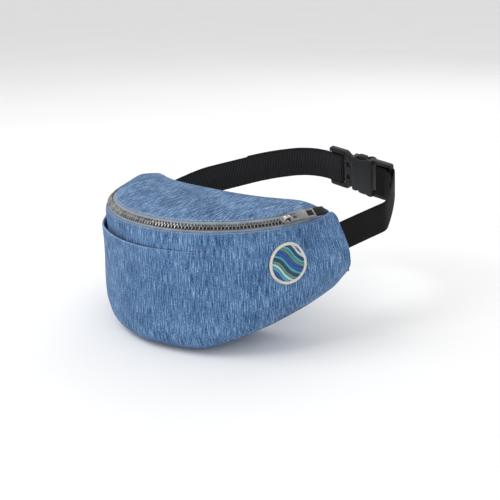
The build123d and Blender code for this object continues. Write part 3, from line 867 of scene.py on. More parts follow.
inner_cols = slice(22, COLUMNS - 22)          # the layers inside stop short of the tips
facing_cols = slice(int(COLUMNS * 0.14), int(COLUMNS * 0.68))   # a little more than the mouth
plain_front = shell[:WALL_ROWS + CORNER_ROWS]
inner_sheet("pocket_facing_cloth", plain_front[9:MOUTH_ROW + 18, facing_cols], 3.6, 1.0, DENIM_INNER,
            "pocket_facing")
inner_sheet("pocket_bag_cloth", plain_front[MOUTH_ROW + 4:MOUTH_ROW + 21, facing_cols], 5.0, 0.6, LINING,
            "pocket_bag")
pad = inner_sheet("back_padding_foam", shell[BACK_START + 5:-3, inner_cols], 2.2, 3.6, FOAM,
                  "back_padding")
inner_sheet("main_lining_cloth", shell[4:-4, inner_cols], 6.6, 0.6, LINING, "main_lining")


# ---- Zip ----
TAPE_ENDS = (-89.6, 89.6)            # turns from the middle of the front
TAPE_T = 0.7
TAPE_TOP = 0.5
CHAIN_ENDS = (-86.0, 76.0)
TOOTH_PITCH = 3.5
STOP_GAP = 0.9                       # turn from the last tooth to a stop
SLIDER_TURN = 69.0


def around(r, turn, z):
    """Point at a radius from the zip's centre. turn is in degrees from the middle of the front."""
    a = math.radians(turn)
    return np.array([r * math.sin(a), ZIP_Y - r * math.cos(a), z])


class Frame:
    """A local frame: an origin and three axes, for pieces modelled on their own."""

    def __init__(self, origin, x, y, z):
        self.origin, self.axes = np.array(origin, float), np.array([unit(x), unit(y), unit(z)])

    def out(self, p):
        return self.origin + np.array(p, float) @ self.axes

    def all_out(self, points):
        return [self.out(p) for p in points]


def on_chain(u, turn, z):
    """Point of the leaning zip: u across it from the middle of the chain and z above its tape."""
    cos, sin = math.cos(math.radians(ZIP_TILT)), math.sin(math.radians(ZIP_TILT))
    return around(ZIP_R + u * cos + z * sin, turn, z * cos - u * sin)


def chain_frame(turn, z=0.0):
    """Frame on the zip: x runs along it, y towards the top panel and z away from its tape."""
    a, tilt = math.radians(turn), math.radians(ZIP_TILT)
    out = np.array([math.sin(a), -math.cos(a), 0])
    up = out * math.sin(tilt) + np.array([0, 0, math.cos(tilt)])
    along = np.array([math.cos(a), math.sin(a), 0])
    return Frame(on_chain(0, turn, z), along, np.cross(up, along), up)


def soft_line(corners):
    """Polyline of (radius, height) points with its inner corners rounded off."""
    corners = [np.array(c, float) for c in corners]
    points = [corners[0]]
    for a, b, c in zip(corners, corners[1:], corners[2:]):
        cut = 0.45 * min(np.linalg.norm(b - a), np.linalg.norm(c - b))
        start, end = b + unit(a - b) * cut, b + unit(c - b) * cut
        points += [start] + rounded(start, b, end, 6) + [end]
    return points + [corners[-1]]


def tape(name, corners, node):
    """One side of the zip's tape, turned about the zip's centre, with slight ripples between stitches and
    painted shade along the band under the teeth.
    """
    line = soft_line(corners)
    turns = np.linspace(*TAPE_ENDS, 261)
    points = np.zeros((len(line), len(turns), 3))
    shaded = np.zeros(points.shape[:2])
    for i, (r, z) in enumerate(line):
        # Painted shade: 1 under the teeth, fading to 0 between 2.3 and 3.0 mm from the chain's middle.
        shaded[i] = 1 - smoothstep(2.3, 3.0, abs(r - ZIP_R))
        for j, turn in enumerate(turns):
            place = around(r, turn, z + 0.18 * wobble(turn * 2.2, r, z, 9.0, 1.3))
            fall = droop(place[0], place[1]) + 0.6 * smoothstep(CAP_TURN, CAP_TURN + 1.5, abs(turn))
            points[i, j] = place - (0, 0, fall)
    belongs(thick_sheet(name, points, TAPE_T, TAPE, teeth_shade_grid=shaded), "bag", node)


def tooth_shape(flip):
    """One tooth, from its crimped foot on the tape to its interlocking head. x runs across the chain
    and y along it."""
    foot_x, neck_x, head_x, end_x = 3.55, 1.4, 0.6, -0.7
    sections = ((foot_x, 0.50, 1.10), (foot_x - 0.5, 0.64, 1.85), (neck_x, 0.60, 2.0),
                (head_x, 0.84, 2.0), (0.0, 0.86, 1.85), (end_x, 0.55, 1.25))
    verts, wear = [], []
    for x, half, height in sections:
        ring = ((-half, 0.0), (half, 0.0), (half, height * 0.62), (half * 0.55, height),
                (-half * 0.55, height), (-half, height * 0.62))
        verts += [(flip * x, y, z) for y, z in ring]
    # The top of each tooth is marked 1, which the teeth's material paints bright: a painted highlight,
    # partly rubbing; the rest is painted near black as shade.
    wear = [1.0 if z > height * 0.8 else 0.0 for (_, _, z) in verts]
    return verts, loft_faces(len(sections), len(ring)), wear


def tooth_row(name, side, node):
    """A whole row of teeth. side is 1 for the outer row and -1 for the inner one, half a pitch along."""
    base_verts, base_faces, wear = tooth_shape(side)
    verts, faces, rub = [], [], []
    pitch = math.degrees(TOOTH_PITCH / ZIP_R)
    count = int((CHAIN_ENDS[1] - CHAIN_ENDS[0]) / pitch)
    for k in range(count):
        local = chain_frame(CHAIN_ENDS[0] + (k + (0.25 if side > 0 else 0.75)) * pitch, TAPE_TOP - 0.15)
        lean = 0.03 * random.uniform(-1, 1)
        first = len(verts)
        verts += [local.out((y + lean * x, -x, z)) for x, y, z in base_verts]
        faces += [tuple(first + i for i in f) for f in base_faces]
        # Each tooth's painted highlight is a little stronger or weaker, at random.
        share = random.uniform(0.5, 1.0)
        rub += [w * share for w in wear]
    obj = mesh_object(name, verts, faces, TEETH, smooth=False)
    set_attribute(obj, "wear", rub)
    belongs(clean(obj), "bag", node)


def block(size, bevel, centre=(0, 0, 0)):
    """Bevelled block as (points, faces), to be placed with others in one piece."""
    bm = bmesh.new()
    bmesh.ops.create_cube(bm, size=1.0)
    bmesh.ops.scale(bm, vec=size, verts=bm.verts)
    bmesh.ops.bevel(bm, geom=list(bm.edges), offset=bevel, segments=2, profile=0.6, affect="EDGES")
    bmesh.ops.translate(bm, vec=centre, verts=bm.verts)
    verts = [np.array(v.co) for v in bm.verts]
    faces = [tuple(v.index for v in f.verts) for f in bm.faces]
    bm.free()
    return verts, faces


def bar(x0, x1, y0, y1, z0, z1, bevel=0.3):
    """Bevelled block between two corners."""
    return block((x1 - x0, y1 - y0, z1 - z0), bevel, ((x0 + x1) / 2, (y0 + y1) / 2, (z0 + z1) / 2))


def joined(parts):
    """One list of points and faces from several."""
    verts, faces = [], []
    for part_verts, part_faces in parts:
        first = len(verts)
        verts += list(part_verts)
        faces += [tuple(first + i for i in f) for f in part_faces]
    return verts, faces


def metal_piece(name, local, parts, material, body, node):
    """One piece of several parts, which are modelled in a local frame."""
    verts, faces = joined(parts)
    return belongs(mesh_object(name, local.all_out(verts), faces, material), body, node)


tape("zip_tape_front_weave", ((127.2, 0.3), (129.7, -1.4), (130.6, -3.2), (130.3, -9.0)), "zip_tape_front")
tape("zip_tape_rear_weave", ((113.0, 4.6), (120.9, 4.3), (122.8, 3.5), (126.9, 0.6)), "zip_tape_rear")
tooth_row("zip_teeth_front_row", 1, "zip_teeth_front")
tooth_row("zip_teeth_rear_row", -1, "zip_teeth_rear")
top_stops = [block((2.2, 1.9, 1.5), 0.4, (0, y, 0.65)) for y in (-1.45, 1.45)]
bottom_stop = [block((2.2, 6.0, 1.7), 0.45, (0, 0, 0.75))]
for node, turn, parts in (("zip_top_stops", CHAIN_ENDS[1] + STOP_GAP, top_stops),
                          ("zip_bottom_stop", CHAIN_ENDS[0] - STOP_GAP, bottom_stop)):
    metal_piece(node + "_metal", chain_frame(turn, TAPE_TOP), parts, TEETH, "bag", node)


# ---- Slider and pull: x runs towards the closed end, y towards the top panel ----
PIN_Z = 5.4                          # height of the cross bar that the pull swings on
PULL_END = 44.0
slider_frame = chain_frame(SLIDER_TURN)


def plate(points, z_low, z_high, bevel, count=2):
    """Closed plate with rounded rims from an outline of (x, y) points, as (points, faces)."""
    rim = [np.array(p, float) for p in points]
    n = len(rim)
    normals = []
    for k in range(n):
        edge_in, edge_out = rim[k] - rim[k - 1], rim[(k + 1) % n] - rim[k]
        direction = unit(sum(edge / max(np.linalg.norm(edge), 1e-9) for edge in (edge_in, edge_out)))
        normals.append(np.array([direction[1], -direction[0]]))
    area = sum(a[0] * b[1] - b[0] * a[1] for a, b in zip(rim, rim[1:] + rim[:1]))
    sign = 1 if area > 0 else -1
    levels = []
    for k in range(count + 1):
        a = math.pi / 2 * k / count
        levels.append((bevel * (1 - math.sin(a)), z_low + bevel * (1 - math.cos(a))))
    levels += [(inset, z_low + z_high - z) for inset, z in reversed(levels)]
    verts = [np.array((*(p - m * sign * inset), z)) for inset, z in levels for p, m in zip(rim, normals)]
    return verts, loft_faces(len(levels), n)


def arc(cx, cy, r, start, end, count=6):
    angles = [math.radians(lerp(start, end, k / count)) for k in range(count + 1)]
    return [(cx + r * math.cos(a), cy + r * math.sin(a)) for a in angles]


def bridge_strip():
    """The crown that the pull hangs from: a strap of metal bent over in an arch, wider at its feet."""
    n_u, n_v = 21, 5
    points = np.zeros((n_v, n_u, 3))
    for j in range(n_u):
        t = -1 + 2 * j / (n_u - 1)
        x = 4.8 * math.copysign(abs(t) ** 0.75, t)
        z = 4.1 + 3.5 * (1 - abs(t) ** 3.2)
        half = 1.1 + 0.75 * abs(t) ** 2
        for i in range(n_v):
            y = lerp(half, -half, i / (n_v - 1))
            points[i, j] = slider_frame.out((x, y, z - 0.25 * (y / half) ** 2))
    return points


def pull_parts():
    """The pull without its grip: a loop on a cross bar, a plate, and the frame around a window."""
    low, high = PIN_Z - 0.7, PIN_Z + 0.7
    parts = [bar(1.6, 11.0, y, y + 2.0, low, high, 0.45) for y in (-5.2, 3.2)]
    parts += [bar(1.65, 2.95, -5.0, 5.0, PIN_Z - 0.6, PIN_Z + 0.6, 0.4),
              bar(10.2, 22.9, -5.3, 5.3, low + 0.1, high - 0.1, 0.35)]
    parts += [bar(22.4, 30.4, y, y + 2.0, low, high, 0.35) for y in (-5.3, 3.3)]
    return parts + [bar(29.9, 31.6, -5.4, 5.4, low - 0.15, high + 0.2, 0.35)]


# Heart-shaped plates: two shoulders at the closed end, and a narrow throat at the open end.
heart = arc(4.2, 2.7, 2.8, 90, 20) + arc(4.2, -2.7, 2.8, -20, -90)
heart += arc(-5.8, -1.9, 1.8, 250, 180) + arc(-5.8, 1.9, 1.8, 180, 110)
slider_parts = [plate(heart, 3.0, 4.3, 0.45), block((3.0, 0.9, 5.0), 0.25, (4.6, 0, 0.6))]
slider_parts += [block((8.0, 0.7, 1.5), 0.3, (-1.4, y, 2.6)) for y in (-4.6, 4.6)]
slider_parts += [plate([(x * 0.9, y * 0.35) for x, y in heart], -2.5, -1.5, 0.3)]
metal_piece("slider_body_metal", slider_frame, slider_parts, SLIDER, "slider", "slider_body")
bridge = thick_sheet("slider_bridge_metal", bridge_strip(), 0.9, SLIDER)
belongs(bridge, "slider", "slider_bridge")
metal_piece("pull_tab_metal", slider_frame, pull_parts(), PULL_METAL, "pull", "pull_tab")
grip_parts = [bar(31.2, PULL_END, -5.3, 5.3, PIN_Z - 0.75, PIN_Z + 0.75, 0.5)]
grip_parts += [bar(x, x + 1.1, -4.2, 4.2, PIN_Z + 0.5, PIN_Z + 1.05, 0.25) for x in (34.0, 36.6, 39.2)]
metal_piece("pull_grip", slider_frame, grip_parts, GRIP, "pull", None)
inlay_parts = [bar(23.0, 30.2, -3.4, 3.4, PIN_Z - 0.35, PIN_Z + 0.1)]
metal_piece("pull_window_inlay", slider_frame, inlay_parts, GRIP, "pull", None)


# ---- Patch: cloth disc, satin-stitch bands and a merrowed edge ----
BANDS = (("navy", (0.012, 0.045, 0.14)), ("cobalt", (0.01, 0.11, 0.46)), ("turquoise", (0.07, 0.46, 0.62)),
         ("sage", (0.13, 0.36, 0.22)), ("ice", (0.62, 0.80, 0.86)))
BAND_ORDER = (0, 1, 2, 4, 3, 0, 2, 1, 1, 3, 2, 0, 4, 1, 0)
BAND_WIDTH = 2.9
BAND_TILT = math.radians(38)
THREAD_PITCH = 0.52
SATIN_STEP = 0.35                    # a satin stitch is cut from places this far apart
LONGEST_RUN = 11                     # and goes on for one place more than this at most
WRAPS = 168
front_rows = shell[:WALL_ROWS]


def on_front(turn, z):
    """Point of the front cloth at a turn from the middle of the front and a height."""
    s = turn / FRONT_HALF_TURN * ARC_SHARE
    j = min(COLUMNS - 2, max(0, int(np.searchsorted(stations, s)) - 1))
    share = (s - stations[j]) / (stations[j + 1] - stations[j])
    found = [point_at(-z, -front_rows[:, k, 2], front_rows[:, k]) for k in (j, j + 1)]
    return lerp(found[0], found[1], share)


def on_patch(a, b, above):
    """Point over the patch's middle: a to the right and b up on the cloth, at a height above it."""
    turn, z = PATCH_TURN + math.degrees(a / PATCH_WALL_R), PATCH_Z + b
    p = on_front(turn, z)
    right = on_front(turn + 0.4, z) - on_front(turn - 0.4, z)
    up = on_front(turn, z + 1.0) - on_front(turn, z - 1.0)
    return p + unit(np.cross(right, up)) * above


def circle(count):
    """Directions around a circle, as (cosine, sine)."""
    return [(math.cos(2 * math.pi * k / count), math.sin(2 * math.pi * k / count)) for k in range(count)]


def patch_ground():
    """A slightly domed disc, as rings of points closed underneath."""
    rings, sides = 12, 72
    verts, uvs = [], []
    for k in range(rings + 2):
        radius = (PATCH_R - 1.6) * min(1.0, (k + 0.02) / rings)
        height = 0.95 if k < rings else (0.55 if k == rings else -0.3)
        places = [(radius * c, radius * s) for c, s in circle(sides)]
        verts += [on_patch(a, b, height) for a, b in places]
        uvs += [(a * MM, b * MM) for a, b in places]
    faces = [tuple(reversed(f)) for f in grid_faces(rings + 2, sides, wrap=True)]
    return clean(mesh_object("patch_ground_cloth", verts, faces, PATCH_CLOTH, uv=uvs))


def strand(points, radius, sides=6):
    """A short thread along some points, thinner at its two ends, as (points, faces)."""
    points = [np.array(p, float) for p in points]
    last = len(points) - 1
    verts = []
    for k, p in enumerate(points):
        direction = unit(points[min(last, k + 1)] - points[max(0, k - 1)])
        side = unit(np.cross(direction, (0.31, 0.17, 0.93)))
        up = np.cross(side, direction)
        r = radius * (0.45 if k in (0, last) else 1.0)
        verts += [p + (side * c + up * s) * r for c, s in circle(sides)]
    return verts, loft_faces(len(points), sides)


def threads(name, strands, material, node=None):
    """Many short threads as one piece of the bag. UV runs along each of them."""
    verts, faces = joined(strands)
    obj = mesh_object(name, verts, faces, material, uv=[((v[0] + v[1]) * MM, v[2] * MM) for v in verts])
    belongs(clean(obj), "bag", node)


def band_at(a, b):
    """Which colour band a place on the patch falls in: plain slanted waves."""
    across = a * math.sin(BAND_TILT) + b * math.cos(BAND_TILT)
    along = a * math.cos(BAND_TILT) - b * math.sin(BAND_TILT)
    place = (across + 1.5 * math.sin(along / 5.2) + 20.5) / BAND_WIDTH
    return BAND_ORDER[int(place) % len(BAND_ORDER)]


def satin_runs():
    """Places of the satin stitches of each colour, cut where one band meets the next."""
    found = [[] for _ in BANDS]
    reach = PATCH_R - 2.4
    line = -reach
    while line < reach:
        half = math.sqrt(reach * reach - line * line)
        at, run, current = -half, [], None
        while at <= half + 1e-6:
            colour = band_at(line, at + random.uniform(-0.12, 0.12))
            if current is None:
                current = colour
            if colour != current or len(run) > LONGEST_RUN:
                found[current].append(run)
                run, current = [], colour
            run.append((line + 0.02 * at, at))
            at += SATIN_STEP
        found[current].append(run)
        line += THREAD_PITCH
    return [[run for run in runs if len(run) > 1] for runs in found]


def satin_stitch(run):
    """One satin stitch, raised in its middle."""
    picked = run[::3] + [run[-1]] if len(run) > 3 else run
    points = []
    for m, (a, b) in enumerate(picked):
        swell = 0.32 * math.sin(math.pi * (m + 0.5) / len(picked))
        points.append(on_patch(a, b, 0.98 + swell))
    return strand(points, 0.30, sides=5)


def merrow_wraps():
    """Wraps of thick thread over the rim of the patch."""
    wraps = []
    for k in range(WRAPS):
        points = []
        for t in [m / 6 for m in range(7)]:
            angle = 2 * math.pi * k / WRAPS + 0.055 * t + 0.006 * random.uniform(-1, 1)
            radius = PATCH_R - 3.0 + 3.1 * t
            height = 0.35 + 1.35 * math.sin(math.pi * min(1.0, 0.08 + 0.92 * t)) ** 0.7
            points.append(on_patch(radius * math.cos(angle), radius * math.sin(angle), height))
        wraps.append(strand(points, 0.42))
    return wraps


belongs(patch_ground(), "bag", "patch_base")
for (word, colour), runs in zip(BANDS, satin_runs()):
    node = "patch_embroidery" if word == BANDS[0][0] else None
    silk = thread(f"satin_{word}", colour, 0.35)
    threads(f"patch_satin_{word}", [satin_stitch(run) for run in runs], silk, node)
threads("patch_merrowed_edge", merrow_wraps(), CREAM, "patch_border")


# ---- Belt: its lines are drawn in the plane that it lies in, from the buckle's end bar ----
BELT_Z, BELT_PITCH, BELT_ROLL = -31.2, math.radians(14.0), math.radians(5.3)
BUCKLE_AT, BUCKLE_HEADING = (116.2, 142.6), math.radians(176.2)
BAR_X, WRAP_R = 73.5, 3.8            # the male half's middle bar, and the webbing's radius around a bar
WEB_STEP = 0.42
RIB_PITCH = 2.1
STRAP_HEADING = 121.4                # the right strap leaves the end bar in this direction
RETURN_RUN = 34.0
RETURN_FROM = 24                     # first point of the outer route that the return runs beside
LOOSE = 17.6                         # the fold hangs this far into the slot
BARTACK_AT, BARTACK_GAP = 66, 5.0    # point of the route, and distance between the two rows
belt_x = np.array([math.cos(BELT_ROLL), 0, -math.sin(BELT_ROLL)])
belt_normal = unit(np.cross(belt_x, (0, math.cos(BELT_PITCH), math.sin(BELT_PITCH))))
belt_y = np.cross(belt_normal, belt_x)
buckle_origin = np.array([0, 0, BELT_Z]) + BUCKLE_AT[0] * belt_x + BUCKLE_AT[1] * belt_y
buckle_axis = belt_x * math.cos(BUCKLE_HEADING) + belt_y * math.sin(BUCKLE_HEADING)
web_side = np.cross(belt_normal, buckle_axis)
web_frame = Frame(buckle_origin, buckle_axis, web_side, belt_normal)
face_frame = Frame(buckle_origin, buckle_axis, np.cross(-web_side, buckle_axis), -web_side)


def route(start, heading, moves):
    """Points every WEB_STEP along (length, turn in degrees) moves, from a start and a heading."""
    points, place, angle = [np.array(start, float)], np.array(start, float), math.radians(heading)
    for length, turn in moves:
        count = max(1, round(length / WEB_STEP))
        for _ in range(count):
            angle += math.radians(turn) / count / 2
            place = place + np.array([math.cos(angle), math.sin(angle)]) * length / count
            angle += math.radians(turn) / count / 2
            points.append(place)
    return points


def ribbon(name, line, material):
    """Webbing along a line in the belt's plane: woven ribs across it, and a firm selvedge."""
    line = np.array(line)
    length = running_length(line)
    tangent = np.gradient(line, axis=0)
    tangent /= np.linalg.norm(tangent, axis=1, keepdims=True)
    side = np.column_stack([-tangent[:, 1], tangent[:, 0]])
    places = np.array([-1, -0.965, -0.93, -0.89, -0.6, -0.3, 0, 0.3, 0.6, 0.89, 0.93, 0.965, 1]) * WEB_W / 2
    selvedge = [0.45, 0.95, 0.80] + [1] * 7 + [0.80, 0.95, 0.45]
    ribbed = [0, 0.35, 0.5] + [1] * 7 + [0.5, 0.35, 0]
    around_web = [(1, m) for m in range(len(places))] + [(-1, m) for m in reversed(range(len(places)))]
    verts, uvs, rib_crest_shade = [], [], []
    for k in range(len(line)):
        wave = 0.5 + 0.5 * math.cos(2 * math.pi * length[k] / RIB_PITCH)
        for face, m in around_web:
            lifted = WEB_T / 2 * selvedge[m] + (0.20 * (wave - 0.5)) * ribbed[m]
            slip = 0.10 * wobble(length[k], places[m] * 0.2, 0, 6.0, 9.1)
            at = line[k] + side[k] * face * lifted
            verts.append(web_frame.out((at[0], at[1], places[m] + slip)))
            uvs.append((length[k] * MM, (places[m] + 60 * (face < 0)) * MM))
            # How high the rib stands here, which the webbing's material paints as light on the crests and
            # shade in the grooves.
            rib_crest_shade.append(wave * (0.45 + 0.55 * ribbed[m]) * (0.92 + 0.08 * math.sin(places[m] * 9.0)))
    obj = mesh_object(name, verts, loft_faces(len(line), len(around_web)), material, uv=uvs)
    set_attribute(obj, "rib_crest_shade", rib_crest_shade)
    return clean(obj)


def even_steps(points):
    """The same line with even steps, and its corners eased."""
    points = np.array(points)
    for _ in range(6):
        place = running_length(points)
        even = np.linspace(0, place[-1], round(place[-1] / WEB_STEP) + 1)
        points = np.column_stack([np.interp(even, place, points[:, k]) for k in (0, 1)])
        for _ in range(6):
            points[1:-1] = 0.5 * points[1:-1] + 0.25 * (points[:-2] + points[2:])
    return points


def return_route(outer):
    """The sewn return of the right strap: out of the slot, then back along the strap's outer run."""
    points = [(LOOSE, WRAP_R), (LOOSE * 0.6, WRAP_R + 0.4), (LOOSE * 0.3, WRAP_R + 0.7)]
    for k in range(RETURN_FROM, round(RETURN_RUN / WEB_STEP) + 1):
        direction = unit(outer[k + 1] - outer[k])
        gap = lerp(2 * WRAP_R, WEB_T + 0.25, smoothstep(0, 25, k * WEB_STEP))
        points.append(outer[k] + np.array([direction[1], -direction[0]]) * gap)
    return points


def bartack(name, offset):
    """Two rows of dense zigzag stitching across the right strap, at an offset from its middle."""
    here = outer_route[BARTACK_AT]
    direction = unit(outer_route[BARTACK_AT + 1] - here)
    normal = np.array([-direction[1], direction[0]]) * offset
    runs = []
    for row in (0.0, BARTACK_GAP):
        base = here + direction * row + normal
        for k in range(30):
            across = lerp(-WEB_W / 2 + 3, WEB_W / 2 - 3, k / 29)
            a = web_frame.out((*(base - direction * 1.1), across))
            b = web_frame.out((*(base + direction * 1.1), across + 0.5))
            runs.append(strand([a, lerp(a, b, 0.5), b], 0.28, sides=5))
    threads(name, runs, WEB_THREAD)


tail_route = route((BAR_X, -WRAP_R), 0,
                   ((1.0, 0), (3.0, 36), (6.0, 0), (3.0, -36), (4.0, 0), (51.84, 44), (57.09, 17)))
load_route = route((BAR_X, WRAP_R), 0, ((15.5, 0), (50.07, 44), (56.37, 17), (118.0, 0)))
bar_wrap = arc(BAR_X, 0.0, WRAP_R, 270, 90, round(WRAP_R * math.pi / WEB_STEP))
left_strap = ribbon("left_webbing", tail_route[::-1] + bar_wrap[1:-1] + load_route, WEB_PAINTED_LIT)
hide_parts("left_strap")
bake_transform(left_strap)

leave = math.radians(STRAP_HEADING + 90)
outer_route = route((WRAP_R * math.cos(leave), WRAP_R * math.sin(leave)), STRAP_HEADING,
                    ((68.8, -8.1), (10.0, -39.5), (44.5, 1.4), (34.0, 0)))
fold = [(LOOSE + 3.2 * math.cos(a), 3.4 * math.sin(a)) for a in map(math.radians, range(-80, 81, 16))]
right_line = outer_route[:3:-1] + [(0.5, -WRAP_R - 0.2), (LOOSE * 0.5, -WRAP_R)] + fold
right_strap = ribbon("right_webbing", even_steps(right_line + return_route(outer_route)), WEB_PAINTED_SHADE)
belongs(right_strap, "bag", "right_strap")
bartack("right_bartack_outer", WEB_T / 2 + 0.05)
bartack("right_bartack_inner", -(WEB_T * 1.5 + 0.3))


# ---- Buckle: x runs from the female half's end bar to the male half, and y across ----
HALF = BUCKLE_W / 2


def mirrored(points):
    return points + [(x, -y) for x, y in reversed(points)]


def flank_plates(points, half_height, bevel, sides=(1, -1)):
    """The same rounded plate on the two flanks of the buckle."""
    return [plate([(x, side * y) for x, y in points], -half_height, half_height, bevel, 3)
            for side in sides]


def end_rod(radius, y0, y1, sides=20):
    """Round bar across the buckle at x = 0, with eased ends."""
    thin, ease = radius * 0.75, radius * 0.25
    levels = ((y0, thin), (y0 + ease, radius), (y1 - ease, radius), (y1, thin))
    verts = [np.array([r * c, y, r * s]) for y, r in levels for c, s in circle(sides)]
    return verts, loft_faces(len(levels), sides)


def shade_by_angle(obj, limit=38.0):
    """Keeps real corners crisp while curved faces stay smooth."""
    bm = bmesh.new()
    bm.from_mesh(obj.data)
    for edge in bm.edges:
        if len(edge.link_faces) == 2 and edge.calc_face_angle(0.0) > math.radians(limit):
            edge.smooth = False
    bm.to_mesh(obj.data)
    bm.free()


def buckle_piece(name, parts, body, node, material=PLASTIC):
    """One moulded piece, rubbed here and there."""
    verts, faces = joined(parts)
    obj = clean(mesh_object(name, face_frame.all_out(verts), faces, material))
    rub = [0.5 + 0.5 * wobble(*(c / MM for c in v.co), 7.0, 4.4) for v in obj.data.vertices]
    set_attribute(obj, "wear", [0.35 * max(0.0, r - 0.4) for r in rub])
    shade_by_angle(obj)
    belongs(obj, body, node)


cover = mirrored(
    arc(26.0, HALF - 2.0, 2.0, 180, 90, 4)
    + [(29.0, HALF + 0.3), (32.0, HALF - 0.4), (35.0, HALF - 1.9), (38.0, HALF - 3.1), (41.5, HALF - 3.6),
       (45.0, HALF - 3.3), (47.6, HALF - 2.4), (49.6, HALF - 1.9)]
    + arc(51.6, HALF - 4.6, 2.6, 80, 0, 5) + [(54.2, 14.0), (53.4, 0.5)])
rail = arc(1.2, HALF - 3.2, 3.2, 180, 90, 5)
rail += [(25.5, HALF), (25.5, HALF - 5.0), (4.5, HALF - 5.0), (-2.0, HALF - 5.0)]
female = [plate(cover, 3.5, 6.0, 0.9, 3), plate(cover, -6.0, -3.5, 0.9, 3)]
female += [bar(24.2, 29.4, y, y + 7.4, -5.4, 5.4, 0.8) for y in (-24.6, 17.2)]
female += [bar(47.6, 53.4, y, y + 4.0, -5.2, 5.2, 0.8) for y in (-23.4, 19.4)]
female += [bar(24.2, 27.2, -20, 20, -5.2, 5.2, 0.6)] + flank_plates(rail, 3.1, 0.9)
female += [end_rod(2.4, -HALF + 2.5, HALF - 2.5)]
buckle_piece("buckle_female_shell", female, "bag", "buckle_female")

shoulder = [(54.8, 11.8), (54.6, 20.2), (56.6, 20.9), (59.2, 22.8), (61.8, 25.0), (64.0, 25.9),
            (66.4, 26.0), (66.4, 11.8)]
male_rail = [(64.5, 20.2), (64.5, 26.0), (84.5, 26.0)] + arc(86.0, 23.0, 3.0, 90, 10, 5) + [(89.0, 20.2)]
male = [bar(54.6, 57.6, -19.6, 19.6, -2.9, 2.9, 0.8), bar(63.0, 66.2, -25.0, 25.0, -2.9, 2.9, 0.8),
        bar(56.4, 64.4, -5.4, 5.4, -2.7, 2.7, 0.5), bar(56.0, 64.6, -20.0, 20.0, -1.0, 0.6, 0.3)]
male += flank_plates(shoulder, 2.9, 0.8) + flank_plates(male_rail, 2.9, 0.9)
male += [bar(71.6, 75.4, -22.5, 22.5, -1.6, 1.6, 0.7), bar(84.0, 89.0, -23.5, 23.5, 0.7, 4.2, 1.1)]
buckle_piece("buckle_male_frame", male, "buckle_male", "buckle_male")

tongue_outline = mirrored(arc(31.6, 2.2, 1.8, 180, 90, 4) + [(40.0, 4.0), (54.9, 4.0)])
tongue = [plate(tongue_outline, -2.6, 2.6, 0.7), bar(34.0, 52.0, -0.9, 0.9, 2.3, 3.1, 0.3)]
buckle_piece("buckle_guide_tongue", tongue, "buckle_male", "buckle_tongue")

arm = [(53.6, 14.2), (50.0, 15.2), (46.9, 16.9), (46.6, 19.0), (46.6, 24.6), (45.4, 25.8), (39.0, 26.2),
       (34.6, 25.4), (32.2, 23.2), (31.4, 20.4), (31.6, 16.0), (33.2, 14.2), (38.0, 13.4), (45.0, 12.6),
       (53.6, 10.9)]
for word, side in (("upper", 1), ("lower", -1)):
    low, high = sorted((side * 24.8, side * 26.5))
    parts = flank_plates(arm, 3.2, 0.7, (side,))
    parts += [bar(x, x + 1.2, low, high, -2.7, 2.7, 0.4) for x in (34.6, 37.2, 39.8, 42.4)]
    buckle_piece(f"latch_arm_{word}_moulded", parts, f"latch_{word}", f"latch_arm_{word}", LATCH_PLASTIC)


# ---- Stitching ----
STITCH_PITCH, STITCH_LENGTH = 3.3, 2.5
STITCH_ROW = 4                       # row of the front's grids that lies 3 mm below a turned edge


def stitch_line(name, points, normals):
    """Lockstitches along a line on the cloth, each sunk at its two ends."""
    points, normals = np.array(points), np.array(normals)
    place = running_length(points)
    runs, at = [], 1.0
    while at + STITCH_LENGTH < place[-1]:
        stitch = []
        for k in range(5):
            t = at + STITCH_LENGTH * k / 4
            rise = 0.22 * math.sin(math.pi * k / 4) - 0.10
            stitch.append(point_at(t, place, points) + unit(point_at(t, place, normals)) * rise)
        runs.append(strand(stitch, 0.26))
        at += STITCH_PITCH * random.uniform(0.97, 1.03)
    threads(name, runs, SEAM_THREAD)


def stitch_beside(name, points, edge, cols):
    """Lockstitches on a panel, in the dip beside one of its edges."""
    normals, distance = grid_normals(points), edge_distance(points)[edge]
    found, facing = [], []
    for j in cols:
        order = np.argsort(distance[:, j])
        found.append(point_at(STITCH_AT, distance[order, j], points[order, j]))
        facing.append(point_at(STITCH_AT, distance[order, j], normals[order, j]))
    stitch_line(name, found, facing)


front_points = relief(shell[:FRONT_END + 1], ("top", "left", "right"))
stitch_line("hem_stitching", front_points[STITCH_ROW, 3:-3], grid_normals(front_points)[STITCH_ROW, 3:-3])
lip_cols = [j for j in range(COLUMNS) if mouth_opening(stations[j]) > 0.02]
lip_normals = grid_normals(lower_front)
stitch_line("pocket_stitching", lower_front[STITCH_ROW, lip_cols], lip_normals[STITCH_ROW, lip_cols])
stitch_beside("top_stitching_front", top_points, "bottom", range(6, 175))
stitch_beside("top_stitching_back", top_points, "top", range(6, 175))
stitch_beside("back_stitching", back_points, "bottom", range(6, COLUMNS - 6))


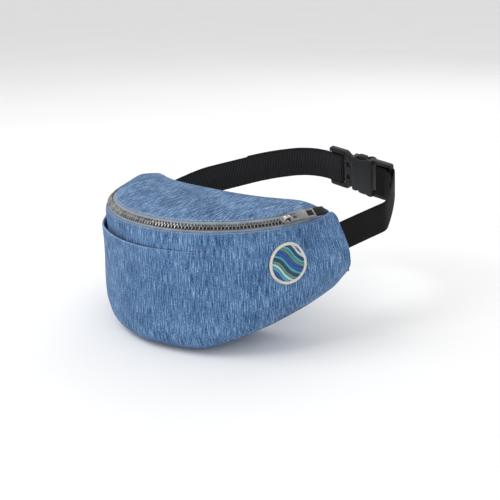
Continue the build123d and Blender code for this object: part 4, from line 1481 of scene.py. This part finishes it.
# ---- Stage, light and camera ----
def build_stage():
    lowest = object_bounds()[0][2] - 0.0006
    bpy.ops.mesh.primitive_plane_add(size=80, location=(0, 0, lowest))
    floor = bpy.context.object
    floor.name = "floor"
    n = Nodes("pale_floor")
    paint = n.finish(n.grey(n.noise(n.place(), 3), (0.3, 0.88), (0.7, 0.90)), 0.9)
    floor.data.materials.append(paint)
    world = bpy.data.worlds.new("studio")
    bpy.context.scene.world = world
    world.use_nodes = True
    world.node_tree.nodes["Background"].inputs["Color"].default_value = (1.0, 1.0, 1.0, 1)
    world.node_tree.nodes["Background"].inputs["Strength"].default_value = 0.80


def area_light(name, place, size, power, target=(0, -0.02, -0.05)):
    light = bpy.data.lights.new(name, "AREA")
    light.shape = "SQUARE"
    light.size = size
    light.energy = power
    obj = bpy.data.objects.new(name, light)
    obj.location = place
    obj.rotation_euler = (Vector(target) - Vector(place)).to_track_quat("-Z", "Y").to_euler()
    bpy.context.scene.collection.objects.link(obj)


CAMERA_AZ, CAMERA_EL, CAMERA_ROLL = 39.6, 20.0, -1.4
CAMERA_DISTANCE = 0.8734
CAMERA_TARGET = Vector((0.02921, -0.01894, -0.06463))
CAMERA_LENS = 55.44


def build_camera():
    az, el, roll = (math.radians(a) for a in (CAMERA_AZ, CAMERA_EL, CAMERA_ROLL))
    back = Vector((math.sin(az) * math.cos(el), -math.cos(az) * math.cos(el), math.sin(el)))
    right = Vector((math.cos(az), math.sin(az), 0.0))
    up = back.cross(right)
    camera = bpy.data.objects.new("camera", bpy.data.cameras.new("camera"))
    camera.data.lens = CAMERA_LENS
    camera.data.sensor_width = 36.0
    camera.data.clip_start = 0.01
    tilted_right = right * math.cos(roll) + up * math.sin(roll)
    tilted_up = up * math.cos(roll) - right * math.sin(roll)
    matrix = Matrix((tilted_right, tilted_up, back)).transposed().to_4x4()
    matrix.translation = CAMERA_TARGET + back * CAMERA_DISTANCE
    camera.matrix_world = matrix
    bpy.context.scene.collection.objects.link(camera)
    bpy.context.scene.camera = camera


build_stage()
area_light("key", (-0.9, -1.0, 1.7), 1.2, 20)
area_light("fill", (1.6, -0.9, 0.9), 1.8, 3)
area_light("back", (-0.2, 1.5, 1.2), 1.4, 6)
build_camera()
bpy.context.scene.view_settings.view_transform = "Standard"
